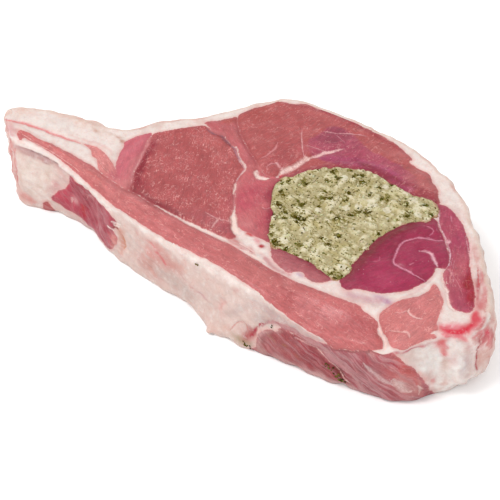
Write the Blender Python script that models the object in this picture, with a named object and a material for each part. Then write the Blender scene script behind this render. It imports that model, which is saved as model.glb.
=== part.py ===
import math

import bmesh
import bpy
import numpy as np
from mathutils import Vector
from mathutils.geometry import delaunay_2d_cdt

MM = 0.001

# Stations clockwise from the tail tip, mm:
# cut edge x, y, its height, foot x, y under it, belly of the wall at half height
STATIONS = [
    (-107, 2.5, 30, -103, 1, 1),
    (-99, 8.5, 30, -98, 6.5, 2),
    (-87, 12.5, 29.5, -87, 11, 2.5),
    (-75.5, 15, 29, -75.5, 13, 2.5),
    (-66, 16, 28.5, -66, 14, 2.5),
    (-60.5, 21, 28, -59, 19, 2.5),
    (-56, 28, 28, -54.5, 26, 2.5),
    (-48, 35, 28, -46.5, 33, 2.5),
    (-39, 42.5, 28, -37.5, 41, 2.5),
    (-33, 51, 28, -31, 50, 2.5),
    (-26, 60.5, 28, -25, 58.5, 2.5),
    (-18, 65.3, 28, -17.5, 63, 2.5),
    (-6, 67, 28, -6, 65, 2.5),
    (14, 65.5, 28, 14, 63.5, 2.5),
    (32, 63.2, 28, 31, 61, 2.5),
    (46, 57, 28, 45, 55, 2.5),
    (57, 50, 28, 56, 48, 2.5),
    (65.5, 41, 28, 64, 39.5, 2.5),
    (73, 31.5, 28, 71, 30.5, 2.5),
    (80.5, 22, 28, 78, 21, 2.5),
    (87, 13, 28, 84.5, 12.5, 2.5),
    (91.5, 4, 28, 89, 4, 3),
    (91, -3, 28, 90, -4, 3),
    (86, -9, 28, 86.5, -10.5, 2),
    (80, -14.5, 28, 82.5, -15.5, 1),
    (76, -20, 27.5, 78, -20.5, 1),
    (68.5, -26, 26, 71, -25, 1),
    (58, -27.8, 24, 60, -27, 1),
    (44.5, -29.2, 21.5, 46, -28.7, 1),
    (33, -28.6, 22.5, 34, -29.2, 1),
    (23, -27.8, 26, 24, -29.2, 1),
    (11, -26.3, 28, 12, -30, 0),
    (-3, -24.7, 28, -3, -26.8, 0),
    (-20, -22.5, 28, -20, -21.9, 1),
    (-36, -20, 28, -36, -19.7, 0.5),
    (-50, -17.5, 28, -50, -15.8, 0),
    (-62, -14.2, 28, -62, -10.5, -1),
    (-74, -10.8, 28.5, -74, -8.6, -0.5),
    (-86, -9.2, 29, -86, -11.2, 1),
    (-96, -9.8, 30, -94, -11.7, 1),
    (-103, -5.2, 30, -99.5, -7.5, 0.5),
]

# Outline of the stuffing pocket, clockwise, mm
POCKET = [
    (-2.5, 21), (0, 27), (4.5, 34), (10, 40), (17, 43.3), (25, 45), (33, 44), (40, 41.8), (46, 43.8),
    (52, 42.5), (55.3, 38), (54, 33.5), (48, 29), (43.5, 21), (41.5, 12), (40.7, 2), (41.2, -5),
    (38.5, -8.6), (32, -7.5), (22, -6), (13.5, -6), (9, -2.5), (6.8, 2), (4.5, 7.5), (0.5, 13.5),
]

# Muscles that stand above or below the cut plane: outline, rise, width of the sloping edge, mm
MUSCLES = [
    # long strip along the front
    ([(-99, -2.5), (-80, -3), (-60, -6.5), (-45, -9), (-20, -11.2), (0, -13), (20, -16), (45, -16),
      (60, -19), (66, -25), (58, -29), (44, -31), (32, -30), (10, -26), (-10, -23.5), (-40, -19),
      (-60, -13), (-80, -7.6), (-97, -5.5)], 1.1, 3.5),
    # eye
    ([(-55, 22), (-50, 29), (-44, 33), (-38, 34.5), (-32, 33), (-25, 30.5), (-20, 25), (-16, 19),
      (-13, 10), (-8, 1), (-2, -8), (-10, -11.5), (-25, -11), (-40, -9.5), (-46, -7), (-50, 4),
      (-53, 14)], -0.8, 4.0),
    # coiled pair beside the pocket
    ([(56, 34), (50, 30), (44, 21), (42, 10), (41.5, -9), (50, -8.5), (57, -6), (63, 3), (67, 11),
      (66, 21), (60, 30)], 0.7, 3.0),
    # outer muscle at the thick end
    ([(53, 43), (58, 42), (65, 36), (73, 24), (81, 11), (84, 2), (78, 0), (71, 9), (68, 18), (62, 28),
      (55, 36)], -0.5, 2.5),
    # corner muscle at the thick end
    ([(68, 4), (73, 2), (77, -8), (79, -14), (75, -22), (67, -24), (61, -17), (64, -9)], 0.5, 2.5),
    # tail muscle
    ([(-73, 4), (-66, 5), (-60, 2), (-55, -3), (-52, -7), (-58, -6), (-66, -1)], -0.5, 2.0),
]

# Fat seams pulled below the meat beside them, mm
SEAMS = [
    [(-56, 21), (-59.5, 9), (-57.5, 0), (-50, -8)],
    [(-54.5, 21), (-53, 14), (-50, 5), (-46, -5), (-44, -9)],
    [(-44, 33), (-32, 33.5), (-25, 30.5), (-20.5, 25), (-16, 19), (-13, 10.5), (-7, 0), (0, -8)],
    [(-33, 46), (-31, 42), (-24, 35), (-15, 28), (-10, 23)],
    [(7.5, 47), (3, 43), (-0.5, 36), (-3.5, 26)],
    [(-1, 30), (4, 38), (10, 44.5), (20, 50), (33, 55.5), (42, 54.5), (49, 49), (53, 43)],
    [(62, 28), (55, 25), (51, 20), (50.5, 12), (53, 8), (65, 7)],
    [(2, -8), (12, -11.5), (25, -15), (42, -14), (55, -11), (63, -7), (67, 3)],
    [(59, -18), (63, -21), (69, -28)],
]
SEAM_DEPTH = 0.7
SEAM_SPREAD = 1.6

# Lumps and hollows of the torn wall: x, y, z, reach along, reach up, depth, mm
WALL_LUMPS = [
    (-85, -9.5, 26.2, 11, 1.8, -0.9),
    (-86, -11, 14, 9, 7, 1.0),
    (-62, -12.5, 13, 10, 9, -0.9),
    (-46, -18, 19, 3, 4, 0.9),
    (-26, -22, 21, 6, 4, 0.5),
    (4, -28, 2, 6, 3.5, 2.0),
    (36, -29, 9, 11, 7, -1.1),
    (62, -27, 14, 4, 10, 0.6),
    (79, -17, 9, 4, 5, 1.1),
    (83, -12, 21, 4, 4, 1.2),
    (88, -8, 11, 4, 5, 1.0),
    (91, -3, 16, 2.5, 9, -1.2),
    (91, 4, 11, 4, 5, 0.9),
]
RIPPLE = 0.3
RIPPLE_PITCH = 8.5

RIM_LEVEL = 28.0  # cut plane over most of the steak
TAIL_LIFT = 2.0
TAIL_LIFT_FROM = -62.0
TAIL_LIFT_LENGTH = 34.0
SHOULDER_REACH = 15.0  # how far a lowered edge draws the cut plane down
EDGE_RADIUS = 2.2
FOOT_TUCK = 0.8
SIDE_COUNT = 156
SPAN_STEPS = 16
WALL_HEIGHTS = [0, 0.09, 0.2, 0.34, 0.5, 0.66, 0.8, 0.9]
ROUND_STEPS = [0.3, 0.62, 0.86, 1.0]

POCKET_COUNT = 72
POCKET_SINK = 0.8
POCKET_SINK_REACH = 1.6
STUFFING_GAP = 0.3
LUMP_HEIGHT = 0.8
LUMP_PITCH = 6.4
TOP_GRID = 3.1
STUFFING_GRID = 2.3
GRID_CLEARANCE = 0.6


def closed_curve(points, steps):
    """Points of a smooth closed curve through the given ones."""
    p = np.array(points, float)
    count = len(p)
    t = np.linspace(0, 1, steps, endpoint=False)[:, None]
    spans = []
    for i in range(count):
        a, b, c, d = p[i - 1], p[i], p[(i + 1) % count], p[(i + 2) % count]
        linear = (c - a) * t
        square = (2 * a - 5 * b + 4 * c - d) * t ** 2
        cube = (3 * b - a - 3 * c + d) * t ** 3
        spans.append(0.5 * (2 * b + linear + square + cube))
    return np.concatenate(spans)


def spread_evenly(curve, count):
    """The closed curve again, as evenly spaced points."""
    ring = np.vstack([curve, curve[:1]])
    steps = np.linalg.norm(np.diff(ring[:, :2], axis=0), axis=1)
    along = np.concatenate([[0], np.cumsum(steps)])
    wanted = np.arange(count) * along[-1] / count
    return np.stack([np.interp(wanted, along, column) for column in ring.T], 1)


def outward(ring):
    """Plan normals of a clockwise ring."""
    along = np.roll(ring, -1, 0) - np.roll(ring, 1, 0)
    along /= np.linalg.norm(along, axis=1)[:, None]
    return np.stack([-along[:, 1], along[:, 0]], 1)


def distance_to_line(xy, line, closed=False):
    """Distance from each point to a chain of straight segments."""
    start = np.array(line, float)
    end = np.roll(start, -1, 0)
    if not closed:
        start, end = start[:-1], end[:-1]
    along = end - start
    length = np.maximum((along ** 2).sum(1), 1e-9)
    away = xy[:, None] - start[None]
    t = np.clip((away * along[None]).sum(2) / length[None], 0, 1)
    return np.sqrt(((away - t[..., None] * along[None]) ** 2).sum(2).min(1))


def is_inside(xy, ring):
    """Which points lie inside a closed ring."""
    a = np.array(ring, float)
    b = np.roll(a, -1, 0)
    x, y = xy[:, :1], xy[:, 1:2]
    rise = b[:, 1] - a[:, 1]
    rise = np.where(np.abs(rise) < 1e-12, 1e-12, rise)
    crosses = (a[:, 1] > y) != (b[:, 1] > y)
    where = (b[:, 0] - a[:, 0]) * (y - a[:, 1]) / rise + a[:, 0]
    return ((crosses & (x < where)).sum(1) % 2).astype(bool)


def depth_inside(xy, ring):
    """Distance to the ring, positive inside it."""
    away = distance_to_line(xy, ring, closed=True)
    return np.where(is_inside(xy, ring), away, -away)


def ease(t):
    t = np.clip(t, 0, 1)
    return t * t * (3 - 2 * t)


OUTLINE = spread_evenly(closed_curve(STATIONS, SPAN_STEPS), SIDE_COUNT)
POCKET_RING = spread_evenly(closed_curve(POCKET, SPAN_STEPS), POCKET_COUNT)


def cut_height(xy):
    """Height of the cut face: level, lowered edges, muscles, seams and the pocket's lip."""
    height = RIM_LEVEL + TAIL_LIFT * ease((TAIL_LIFT_FROM - xy[:, 0]) / TAIL_LIFT_LENGTH)
    away = np.linalg.norm(xy[:, None] - OUTLINE[None, :, :2], axis=2)
    nearest = away.argmin(1)
    pull = 1 - ease(away.min(1) / SHOULDER_REACH)
    height = height + (OUTLINE[nearest, 2] - height) * pull
    for outline, rise, slope in MUSCLES:
        inner = depth_inside(xy, closed_curve(outline, 4))
        height += rise * ease(inner / slope)
    for seam in SEAMS:
        height -= SEAM_DEPTH * np.exp(-(distance_to_line(xy, seam) / SEAM_SPREAD) ** 2)
    lip = distance_to_line(xy, POCKET_RING, closed=True) / POCKET_SINK_REACH
    return height - POCKET_SINK * np.exp(-lip ** 2)


def wall_shift(x, y, z):
    """Relief of the wall along its normal."""
    shift = np.zeros_like(x)
    for lump_x, lump_y, lump_z, reach, rise, depth in WALL_LUMPS:
        across = ((x - lump_x) ** 2 + (y - lump_y) ** 2) / reach ** 2
        up = ((z - lump_z) / rise) ** 2
        shift += depth * np.exp(-across - up)
    turn = 2 * math.pi / RIPPLE_PITCH
    shift += RIPPLE * np.sin(turn * (x + 0.6 * z)) * np.sin(turn * (0.7 * y + 1.3 * z) + 1)
    return shift


def wall_rows():
    """Rings of the wall from the flat foot up to the inner end of the rounded edge."""
    normal = outward(OUTLINE[:, :2])
    rows = []
    for part in WALL_HEIGHTS:
        z = part * (OUTLINE[:, 2] - EDGE_RADIUS)
        share = z / OUTLINE[:, 2]
        plan = OUTLINE[:, 3:5] * (1 - share[:, None]) + OUTLINE[:, :2] * share[:, None]
        out = OUTLINE[:, 5] * np.sin(math.pi * share) + wall_shift(plan[:, 0], plan[:, 1], z)
        if part == 0:
            out = out - FOOT_TUCK
        rows.append(np.column_stack([plan + normal * out[:, None], z]))
    for step in ROUND_STEPS:
        angle = step * math.pi / 2
        inset = EDGE_RADIUS * (1 - math.cos(angle))
        z = OUTLINE[:, 2] - EDGE_RADIUS * (1 - math.sin(angle))
        plan = OUTLINE[:, :2] - normal * inset
        rows.append(np.column_stack([plan, z]))
    rows[-1][:, 2] = cut_height(rows[-1][:, :2])
    return rows


def hexagonal_grid(low, high, pitch):
    rows = np.arange(low[1], high[1], pitch * math.sqrt(3) / 2)
    points = []
    for k, y in enumerate(rows):
        x = np.arange(low[0] + (k % 2) * pitch / 2, high[0], pitch)
        points.append(np.column_stack([x, np.full(len(x), y)]))
    return np.concatenate(points)


def filled_plan(outer, holes, lines, extra):
    """Triangles over a plan shape with holes, with edges along the lines."""
    points = [tuple(p) for p in outer]
    edges = []
    face = list(range(len(points)))
    for ring in holes:
        first = len(points)
        points += [tuple(p) for p in ring]
        edges += [(first + k, first + (k + 1) % len(ring)) for k in range(len(ring))]
    for line in lines:
        first = len(points)
        points += [tuple(p) for p in line]
        edges += [(first + k, first + k + 1) for k in range(len(line) - 1)]
    points += [tuple(p) for p in extra]
    flat = [Vector((float(x), float(y))) for x, y in points]
    found, _, triangles, _, _, _ = delaunay_2d_cdt(flat, edges, [face], 1, 1e-4, False)
    xy = np.array([tuple(p) for p in found])
    triangles = np.array([list(t) for t in triangles])
    middle = xy[triangles].mean(1)
    keep = is_inside(middle, outer)
    for ring in holes:
        keep &= ~is_inside(middle, ring)
    a, b, c = (xy[triangles[:, k]] for k in range(3))
    turn = (b[:, 0] - a[:, 0]) * (c[:, 1] - a[:, 1]) - (b[:, 1] - a[:, 1]) * (c[:, 0] - a[:, 0])
    triangles[turn < 0] = triangles[turn < 0][:, ::-1]
    return xy, triangles[keep]


def joined(name, pieces, material):
    """One closed mesh object from shells that share their border points."""
    bm = bmesh.new()
    for points, faces in pieces:
        made = [bm.verts.new(p * MM) for p in np.asarray(points, float)]
        for face in faces:
            bm.faces.new([made[k] for k in face])
    bmesh.ops.remove_doubles(bm, verts=bm.verts, dist=0.002 * MM)
    loose = [v for v in bm.verts if not v.link_faces]
    bmesh.ops.delete(bm, geom=loose, context="VERTS")
    bmesh.ops.recalc_face_normals(bm, faces=bm.faces)
    mesh = bpy.data.meshes.new(name)
    bm.to_mesh(mesh)
    bm.free()
    mesh.materials.append(material)
    obj = bpy.data.objects.new(name, mesh)
    bpy.context.scene.collection.objects.link(obj)
    return obj


def band(lower, upper):
    """Quads as triangle pairs between two rings of equal length."""
    count = len(lower)
    points = np.vstack([lower, upper])
    faces = []
    for k in range(count):
        after = (k + 1) % count
        faces.append((k, count + k, after))
        faces.append((after, count + k, count + after))
    return points, faces


def with_height(xy, height):
    z = np.broadcast_to(height, len(xy))
    return np.column_stack([xy, z])


def principled(name, colour, roughness):
    material = bpy.data.materials.new(name)
    material.use_nodes = True
    shader = material.node_tree.nodes["Principled BSDF"]
    shader.inputs["Base Color"].default_value = (*colour, 1)
    shader.inputs["Roughness"].default_value = roughness
    return material


def build_meat():
    rows = wall_rows()
    foot, crown = rows[0][:, :2], rows[-1][:, :2]
    pieces = [band(lower, upper) for lower, upper in zip(rows, rows[1:])]

    lines = []
    for seam in SEAMS:
        seam = np.array(seam, float)
        clear = distance_to_line(seam, POCKET_RING, closed=True) > TOP_GRID
        clear &= depth_inside(seam, crown) > TOP_GRID
        lines.append(seam[clear])
    grid = hexagonal_grid(crown.min(0), crown.max(0), TOP_GRID)
    clear = depth_inside(grid, crown) > GRID_CLEARANCE * TOP_GRID
    clear &= -depth_inside(grid, POCKET_RING) > GRID_CLEARANCE * TOP_GRID
    for seam in lines:
        clear &= distance_to_line(grid, seam) > GRID_CLEARANCE * TOP_GRID
    xy, triangles = filled_plan(crown, [POCKET_RING], lines, grid[clear])
    pieces.append((with_height(xy, cut_height(xy)), triangles))

    pocket_top = with_height(POCKET_RING, cut_height(POCKET_RING))
    pocket_foot = with_height(POCKET_RING, 0.0)
    pieces.append(band(pocket_top, pocket_foot))

    xy, triangles = filled_plan(foot, [POCKET_RING], [], np.empty((0, 2)))
    pieces.append((with_height(xy, 0.0), triangles[:, ::-1]))
    return pieces


def crumbs(xy):
    """Crumbly relief of the stuffing, from overlapping waves."""
    x, y = xy[:, 0] / LUMP_PITCH, xy[:, 1] / LUMP_PITCH
    coarse = np.sin(6.1 * x + 1.7 * np.sin(3.3 * y)) * np.sin(5.3 * y + 1.3 * np.sin(4.1 * x))
    fine = np.sin(9.7 * x + 4.0 * y + 0.8) * np.cos(8.3 * y - 3.1 * x)
    return LUMP_HEIGHT * (0.6 * coarse + 0.4 * fine)


def stuffing_height(xy, ring):
    """Crumbs over most of the top, sinking to a plain lip at the ring."""
    inner = ease(depth_inside(xy, ring) / STUFFING_GRID)
    return RIM_LEVEL - POCKET_SINK * (1 - inner) + crumbs(xy) * inner


def build_stuffing():
    ring = POCKET_RING - outward(POCKET_RING) * STUFFING_GAP
    grid = hexagonal_grid(ring.min(0), ring.max(0), STUFFING_GRID)
    grid = grid[depth_inside(grid, ring) > GRID_CLEARANCE * STUFFING_GRID]
    xy, triangles = filled_plan(ring, [], [], grid)
    pieces = [(with_height(xy, stuffing_height(xy, ring)), triangles)]
    ring_top = with_height(ring, stuffing_height(ring, ring))
    pieces.append(band(with_height(ring, 0.0), ring_top))
    xy, triangles = filled_plan(ring, [], [], np.empty((0, 2)))
    pieces.append((with_height(xy, 0.0), triangles[:, ::-1]))
    return pieces


def main():
    for obj in list(bpy.data.objects):
        bpy.data.objects.remove(obj)
    meat = joined("meat", build_meat(), principled("meat", (0.5, 0.12, 0.11), 0.4))
    stuffing = joined("herb_stuffing", build_stuffing(), principled("herb_stuffing", (0.5, 0.46, 0.28), 0.7))
    corners = np.array([vertex.co for vertex in meat.data.vertices])
    middle = (corners.min(0) + corners.max(0)) / 2
    for obj in (meat, stuffing):
        for vertex in obj.data.vertices:
            vertex.co.x -= middle[0]
            vertex.co.y -= middle[1]
    print("origin at", middle / MM)


main()
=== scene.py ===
import itertools
import math
import random

import bpy
import numpy as np
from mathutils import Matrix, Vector
from mathutils.geometry import delaunay_2d_cdt


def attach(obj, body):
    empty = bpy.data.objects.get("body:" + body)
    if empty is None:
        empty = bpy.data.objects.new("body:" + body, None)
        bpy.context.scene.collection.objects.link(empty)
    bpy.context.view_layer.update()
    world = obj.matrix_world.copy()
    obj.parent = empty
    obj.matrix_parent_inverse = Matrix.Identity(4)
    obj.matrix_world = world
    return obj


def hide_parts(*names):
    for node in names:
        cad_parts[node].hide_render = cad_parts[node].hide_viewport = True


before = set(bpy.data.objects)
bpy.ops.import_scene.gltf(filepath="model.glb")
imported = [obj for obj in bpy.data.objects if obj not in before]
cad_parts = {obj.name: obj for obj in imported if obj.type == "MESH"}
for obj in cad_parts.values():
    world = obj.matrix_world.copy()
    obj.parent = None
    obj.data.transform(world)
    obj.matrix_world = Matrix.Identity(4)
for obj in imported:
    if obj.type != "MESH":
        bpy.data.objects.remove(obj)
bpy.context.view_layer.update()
random.seed(7)

mm = 0.001
originShift = (6.483, -19.195)  # mm, from the plan places used below to the frame
view = {"azimuth": 31.5, "elevation": 45, "distance": 591, "aim": 14, "lens": 120}  # degrees, then mm
azimuth, elevation = math.radians(view["azimuth"]), math.radians(view["elevation"])
back = np.array((math.sin(azimuth) * math.cos(elevation), -math.cos(azimuth) * math.cos(elevation),
                 math.sin(elevation)))
eyePoint = back * view["distance"] + (0, 0, view["aim"])
print("frame loaded")


def srgb(r, g, b):
    # screen colour 0-255 to the linear values Blender wants
    shares = (r / 255, g / 255, b / 255)
    return tuple(c / 12.92 if c <= 0.04045 else ((c + 0.055) / 1.055) ** 2.4 for c in shares)


def ease(t):
    t = np.clip(t, 0, 1)
    return t * t * (3 - 2 * t)


def smoothStretch(a, b, c, d, steps):
    # the stretch from b to c of a smooth curve through four points
    t = np.linspace(0, 1, steps, endpoint=False)[:, None]
    linear = (c - a) * t
    square = (2 * a - 5 * b + 4 * c - d) * t ** 2
    cube = (3 * b - a - 3 * c + d) * t ** 3
    return 0.5 * (2 * b + linear + square + cube)


def closedCurve(points, steps):
    p = np.array(points, float)
    fours = zip(np.roll(p, 1, 0), p, np.roll(p, -1, 0), np.roll(p, -2, 0))
    return np.concatenate([smoothStretch(*four, steps) for four in fours])


def openCurve(points, steps):
    p = np.array(points, float)
    p = np.vstack([2 * p[0] - p[1], p, 2 * p[-1] - p[-2]])
    spans = [smoothStretch(*four, steps) for four in zip(p, p[1:], p[2:], p[3:])]
    return np.vstack(spans + [p[-2][None]])


def spreadEvenly(curve, count):
    # the same number of even steps round a closed curve, whatever its own points
    ring = np.vstack([curve, curve[:1]])
    steps = np.linalg.norm(np.diff(ring[:, :2], axis=0), axis=1)
    along = np.concatenate([[0], np.cumsum(steps)])
    wanted = np.arange(count) * along[-1] / count
    return np.stack([np.interp(wanted, along, column) for column in ring.T], 1)


def outward(ring):
    # plan normals of a clockwise ring
    along = np.roll(ring, -1, 0) - np.roll(ring, 1, 0)
    along /= np.linalg.norm(along, axis=1)[:, None]
    return np.stack([-along[:, 1], along[:, 0]], 1)


def nearestOnLine(xy, line, closed=False):
    # distance to a chain of segments, offset to its nearest point, and how far along that is, 0 to 1
    start = np.array(line, float)[:, :2]
    end = np.roll(start, -1, 0)
    if not closed:
        start, end = start[:-1], end[:-1]
    best = np.full(len(xy), 1e9)
    offset = np.zeros((len(xy), 2))
    along = np.zeros(len(xy))
    for k, (a, b) in enumerate(zip(start, end)):
        step = b - a
        t = np.clip(((xy - a) @ step) / max(step @ step, 1e-9), 0, 1)
        away = xy - (a + t[:, None] * step)
        gap = (away ** 2).sum(1)
        closer = gap < best
        best[closer] = gap[closer]
        offset[closer] = away[closer]
        along[closer] = (k + t[closer]) / len(start)
    return np.sqrt(best), offset, along


def isInside(xy, ring):
    # which places a ring goes round, by counting the sides that a line from each one crosses
    inside = np.zeros(len(xy), bool)
    for (ax, ay), (bx, by) in zip(ring[:, :2], np.roll(ring[:, :2], -1, 0)):
        if ay == by:
            continue
        crosses = (ay > xy[:, 1]) != (by > xy[:, 1])
        inside ^= crosses & (xy[:, 0] < (bx - ax) * (xy[:, 1] - ay) / (by - ay) + ax)
    return inside


def depthInside(xy, ring):
    # distance to a ring, below 0 outside it
    away = nearestOnLine(xy, ring, closed=True)[0]
    return np.where(isInside(xy, ring), away, -away)


def cloud(points, pitch, seed, octaves=1):
    # smooth lattice noise, -1 to 1, over points in mm
    points = np.column_stack([points, np.zeros((len(points), 3 - points.shape[1]))])
    total = np.zeros(len(points))
    for octave in range(octaves):
        p = points * 2 ** octave / pitch + 31.7 * octave
        cell = np.floor(p).astype(np.int64)
        f = p - cell
        f = f * f * (3 - 2 * f)
        for corner in itertools.product((0, 1), repeat=3):
            x, y, z = (cell + corner).T
            mixed = (x * 73856093) ^ (y * 19349663) ^ (z * 83492791) ^ (seed * 2971215073)
            mixed = (mixed ^ (mixed >> 13)) * 1274126177 & 0xFFFFFF
            weight = np.prod(np.where(corner, f, 1 - f), axis=1)
            total += (mixed / 0x7FFFFF - 1) * weight / 2 ** octave
    return total


def push(xy, amount, pitch, seed, octaves=1):
    # offsets that wander by up to the amount, so painted edges aren't too clean
    return amount * np.column_stack([cloud(xy, pitch, seed, octaves), cloud(xy, pitch, seed + 1, octaves)])


def near(xy, x, y, reach, power=2):
    # 1 at a place, down to 0 beyond its reach, and flatter topped with a higher power
    return np.exp(-(np.hypot(xy[:, 0] - x, xy[:, 1] - y) / reach) ** power)


def hexagonalGrid(border, pitch):
    # evenly packed places over the box round a border
    low, high = border.min(0), border.max(0)
    rows = np.arange(low[1], high[1], pitch * math.sqrt(3) / 2)
    points = []
    for k, y in enumerate(rows):
        x = np.arange(low[0] + (k % 2) * pitch / 2, high[0], pitch)
        points.append(np.column_stack([x, np.full(len(x), y)]))
    return np.concatenate(points)


def filledPlan(outer, holes, extra):
    # triangles over a plan outline, left open inside the holes
    rings = [outer, *holes]
    points, edges = [], []
    for ring in rings:
        first = len(points)
        points += ring.tolist()
        edges += [(first + k, first + (k + 1) % len(ring)) for k in range(len(ring))]
    flat = [Vector(p) for p in points + extra.tolist()]
    found = delaunay_2d_cdt(flat, edges, [list(range(len(outer)))], 1, 1e-5, False)
    xy = np.array([tuple(p) for p in found[0]])
    triangles = np.array([list(t) for t in found[2]])
    middle = xy[triangles].mean(1)
    keep = isInside(middle, outer)
    for hole in holes:
        keep &= ~isInside(middle, hole)
    triangles = triangles[keep]
    a, b, c = (xy[triangles[:, k]] for k in range(3))
    turn = (b[:, 0] - a[:, 0]) * (c[:, 1] - a[:, 1]) - (b[:, 1] - a[:, 1]) * (c[:, 0] - a[:, 0])
    triangles[turn < 0] = triangles[turn < 0][:, ::-1]
    return xy, triangles


def ringQuads(count, rows, first=0):
    # quads between stacked rings of equal length
    k = np.arange(count)
    after = (k + 1) % count
    quads = []
    for row in range(rows - 1):
        low = first + row * count
        quads.append(np.column_stack([low + k, low + count + k, low + count + after, low + after]))
    return np.concatenate(quads)


def makeObject(name, points, faces, material, attributes=()):
    # points in mm of the plan, and values at each of them for the material to read
    mesh = bpy.data.meshes.new(name)
    placed = (np.asarray(points) + (*originShift, 0)) * mm
    mesh.from_pydata(placed.tolist(), [], faces)
    mesh.polygons.foreach_set("use_smooth", [True] * len(mesh.polygons))
    for key, kind, values in attributes:
        layer = mesh.attributes.new(key, kind, "POINT")
        field = {"FLOAT": "value", "FLOAT_VECTOR": "vector", "FLOAT_COLOR": "color"}[kind]
        layer.data.foreach_set(field, np.asarray(values, np.float32).ravel())
    mesh.materials.append(material)
    mesh.update()
    obj = bpy.data.objects.new(name, mesh)
    bpy.context.scene.collection.objects.link(obj)
    return obj


class Wire:
    # a socket of a material that can be used in ordinary arithmetic
    def __init__(self, finish, socket):
        self.finish = finish
        self.socket = socket

    def maths(self, operation, *terms):
        return self.finish.add("ShaderNodeMath", {"operation": operation}, dict(enumerate(terms)))

    def __add__(self, other):
        return self.maths("ADD", self, other)

    def __radd__(self, other):
        return self.maths("ADD", other, self)

    def __sub__(self, other):
        return self.maths("SUBTRACT", self, other)

    def __rsub__(self, other):
        return self.maths("SUBTRACT", other, self)

    def __mul__(self, other):
        return self.maths("MULTIPLY", self, other)

    def __rmul__(self, other):
        return self.maths("MULTIPLY", other, self)

    def __truediv__(self, other):
        return self.maths("DIVIDE", self, other)

    def __rtruediv__(self, other):
        return self.maths("DIVIDE", other, self)

    def __abs__(self):
        return self.maths("ABSOLUTE", self)

    def least(self, other):
        return self.maths("MINIMUM", self, other)

    def twin(self, out):
        # another socket of the same node
        return Wire(self.finish, self.socket.node.outputs[out])


class Finish:
    # one material: its nodes, with the shaded surface already wired to the output
    def __init__(self, name, **constants):
        self.material = bpy.data.materials.new(name)
        self.material.use_nodes = True
        self.tree = self.material.node_tree
        self.shader = self.tree.nodes["Principled BSDF"]
        for key, value in constants.items():
            self.shader.inputs[key.replace("_", " ")].default_value = value

    def add(self, kind, settings=None, sockets=None, out=0):
        node = self.tree.nodes.new(kind)
        for key, value in (settings or {}).items():
            setattr(node, key, value)
        for key, value in (sockets or {}).items():
            if isinstance(value, Wire):
                self.tree.links.new(value.socket, node.inputs[key])
            else:
                node.inputs[key].default_value = value
        return Wire(self, node.outputs[out])

    def attribute(self, name, out=2):
        # a value from the mesh: out 0 is a colour, 1 a vector and 2 a number
        return self.add("ShaderNodeAttribute", {"attribute_name": name}, out=out)

    def place(self):
        # position in mm
        return self.scaled(self.add("ShaderNodeTexCoord", out=3), 1000.0)

    def stretched(self, vector, x, y, z):
        return self.add("ShaderNodeVectorMath", {"operation": "MULTIPLY"}, {0: vector, 1: (x, y, z)})

    def noise(self, vector, pitch, detail=2.0, roughness=0.5, distortion=0.0):
        sockets = {"Vector": vector, "Scale": 1 / pitch, "Detail": detail, "Roughness": roughness,
                   "Distortion": distortion}
        return self.add("ShaderNodeTexNoise", {}, sockets)

    def cells(self, vector, pitch, **settings):
        # distance to the middle of the nearest cell
        return self.add("ShaderNodeTexVoronoi", settings, {"Vector": vector, "Scale": 1 / pitch})

    def threads(self, vector, pitch, reach, half, bend):
        # short bent threads in all directions
        cell = self.cells(vector, pitch, voronoi_dimensions="2D").twin("Color")  # random, one to a cell
        centre = cell.twin("Position")
        away = self.add("ShaderNodeVectorMath", {"operation": "SUBTRACT"}, {0: vector, 1: centre})
        turn = {"Vector": away, "Angle": cell * 17.0}
        turned = self.add("ShaderNodeVectorRotate", {"rotation_type": "Z_AXIS"}, turn)
        along = self.add("ShaderNodeSeparateXYZ", {}, {0: turned})
        across = along.twin(1) + along * along * bend
        thin = 1 - self.step(abs(across), half * 0.4, half * 1.5)
        return thin * (1 - self.step(abs(along), reach * 0.6, reach))

    def scaled(self, vector, factor):
        return self.add("ShaderNodeVectorMath", {"operation": "SCALE"}, {0: vector, "Scale": factor})

    def step(self, value, low, high):
        # smooth 0 to 1 as value goes from low to high
        sockets = {"Value": value, "From Min": low, "From Max": high}
        return self.add("ShaderNodeMapRange", {"interpolation_type": "SMOOTHSTEP"}, sockets)

    def mix(self, factor, a, b):
        # from colour a to colour b
        a, b = (colour if isinstance(colour, Wire) else (*colour, 1) for colour in (a, b))
        return self.add("ShaderNodeMix", {"data_type": "RGBA"}, {0: factor, 6: a, 7: b}, out=2)

    def connect(self, key, wire):
        self.tree.links.new(wire.socket, self.shader.inputs[key])

    def bump(self, height, distance, strength):
        # the distance is in metres
        sockets = {"Height": height, "Distance": distance, "Strength": strength}
        self.connect("Normal", self.add("ShaderNodeBump", {}, sockets))


# lengths in mm, places and rows in numbers
steak = {
    "sideCount": 760,  # places round the cut edge
    "wallRows": 42,
    "edgeRadius": 2.2,
    "edgeRows": 7,
    "tighterBack": 0.3,
    "shaftRows": 12,  # down the pocket
    "footTuck": 0.3,
    "topGrid": 0.6,
    "bottomGrid": 1.2,
    "level": 28.0,
    "tailLift": 2.0,
    "tailLiftFrom": -62.0,
    "tailLiftLength": 34.0,
    "shoulderReach": 15.0,
    "seamDepth": 0.7,
    "seamSpread": 1.6,
    "pocketCount": 300,
    "pocketSink": 0.35,
    "pocketSinkReach": 1.6,
    "pocketRipple": 0.55,
    "pocketPitch": 3.2,
    "ripple": 0.3,
    "ripplePitch": 8.5,
    "rimRipple": 0.6,
    "rimPitch": 5.5,
    "turnsFront": 26.4,  # height on the torn wall, out of 28, where the cut face's tones begin
    "turnsHigher": 1.3,  # and how much higher over the deep bite at the front
    "turnsBack": 28.3,
    "farOff": 9.0,  # stands for no seam or muscle nearby
    "glare": 0.03,  # what the wet surface's shine adds to a tone
    "dim": 0.77,  # the studio light is bright, so tones are held back by this
}

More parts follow.
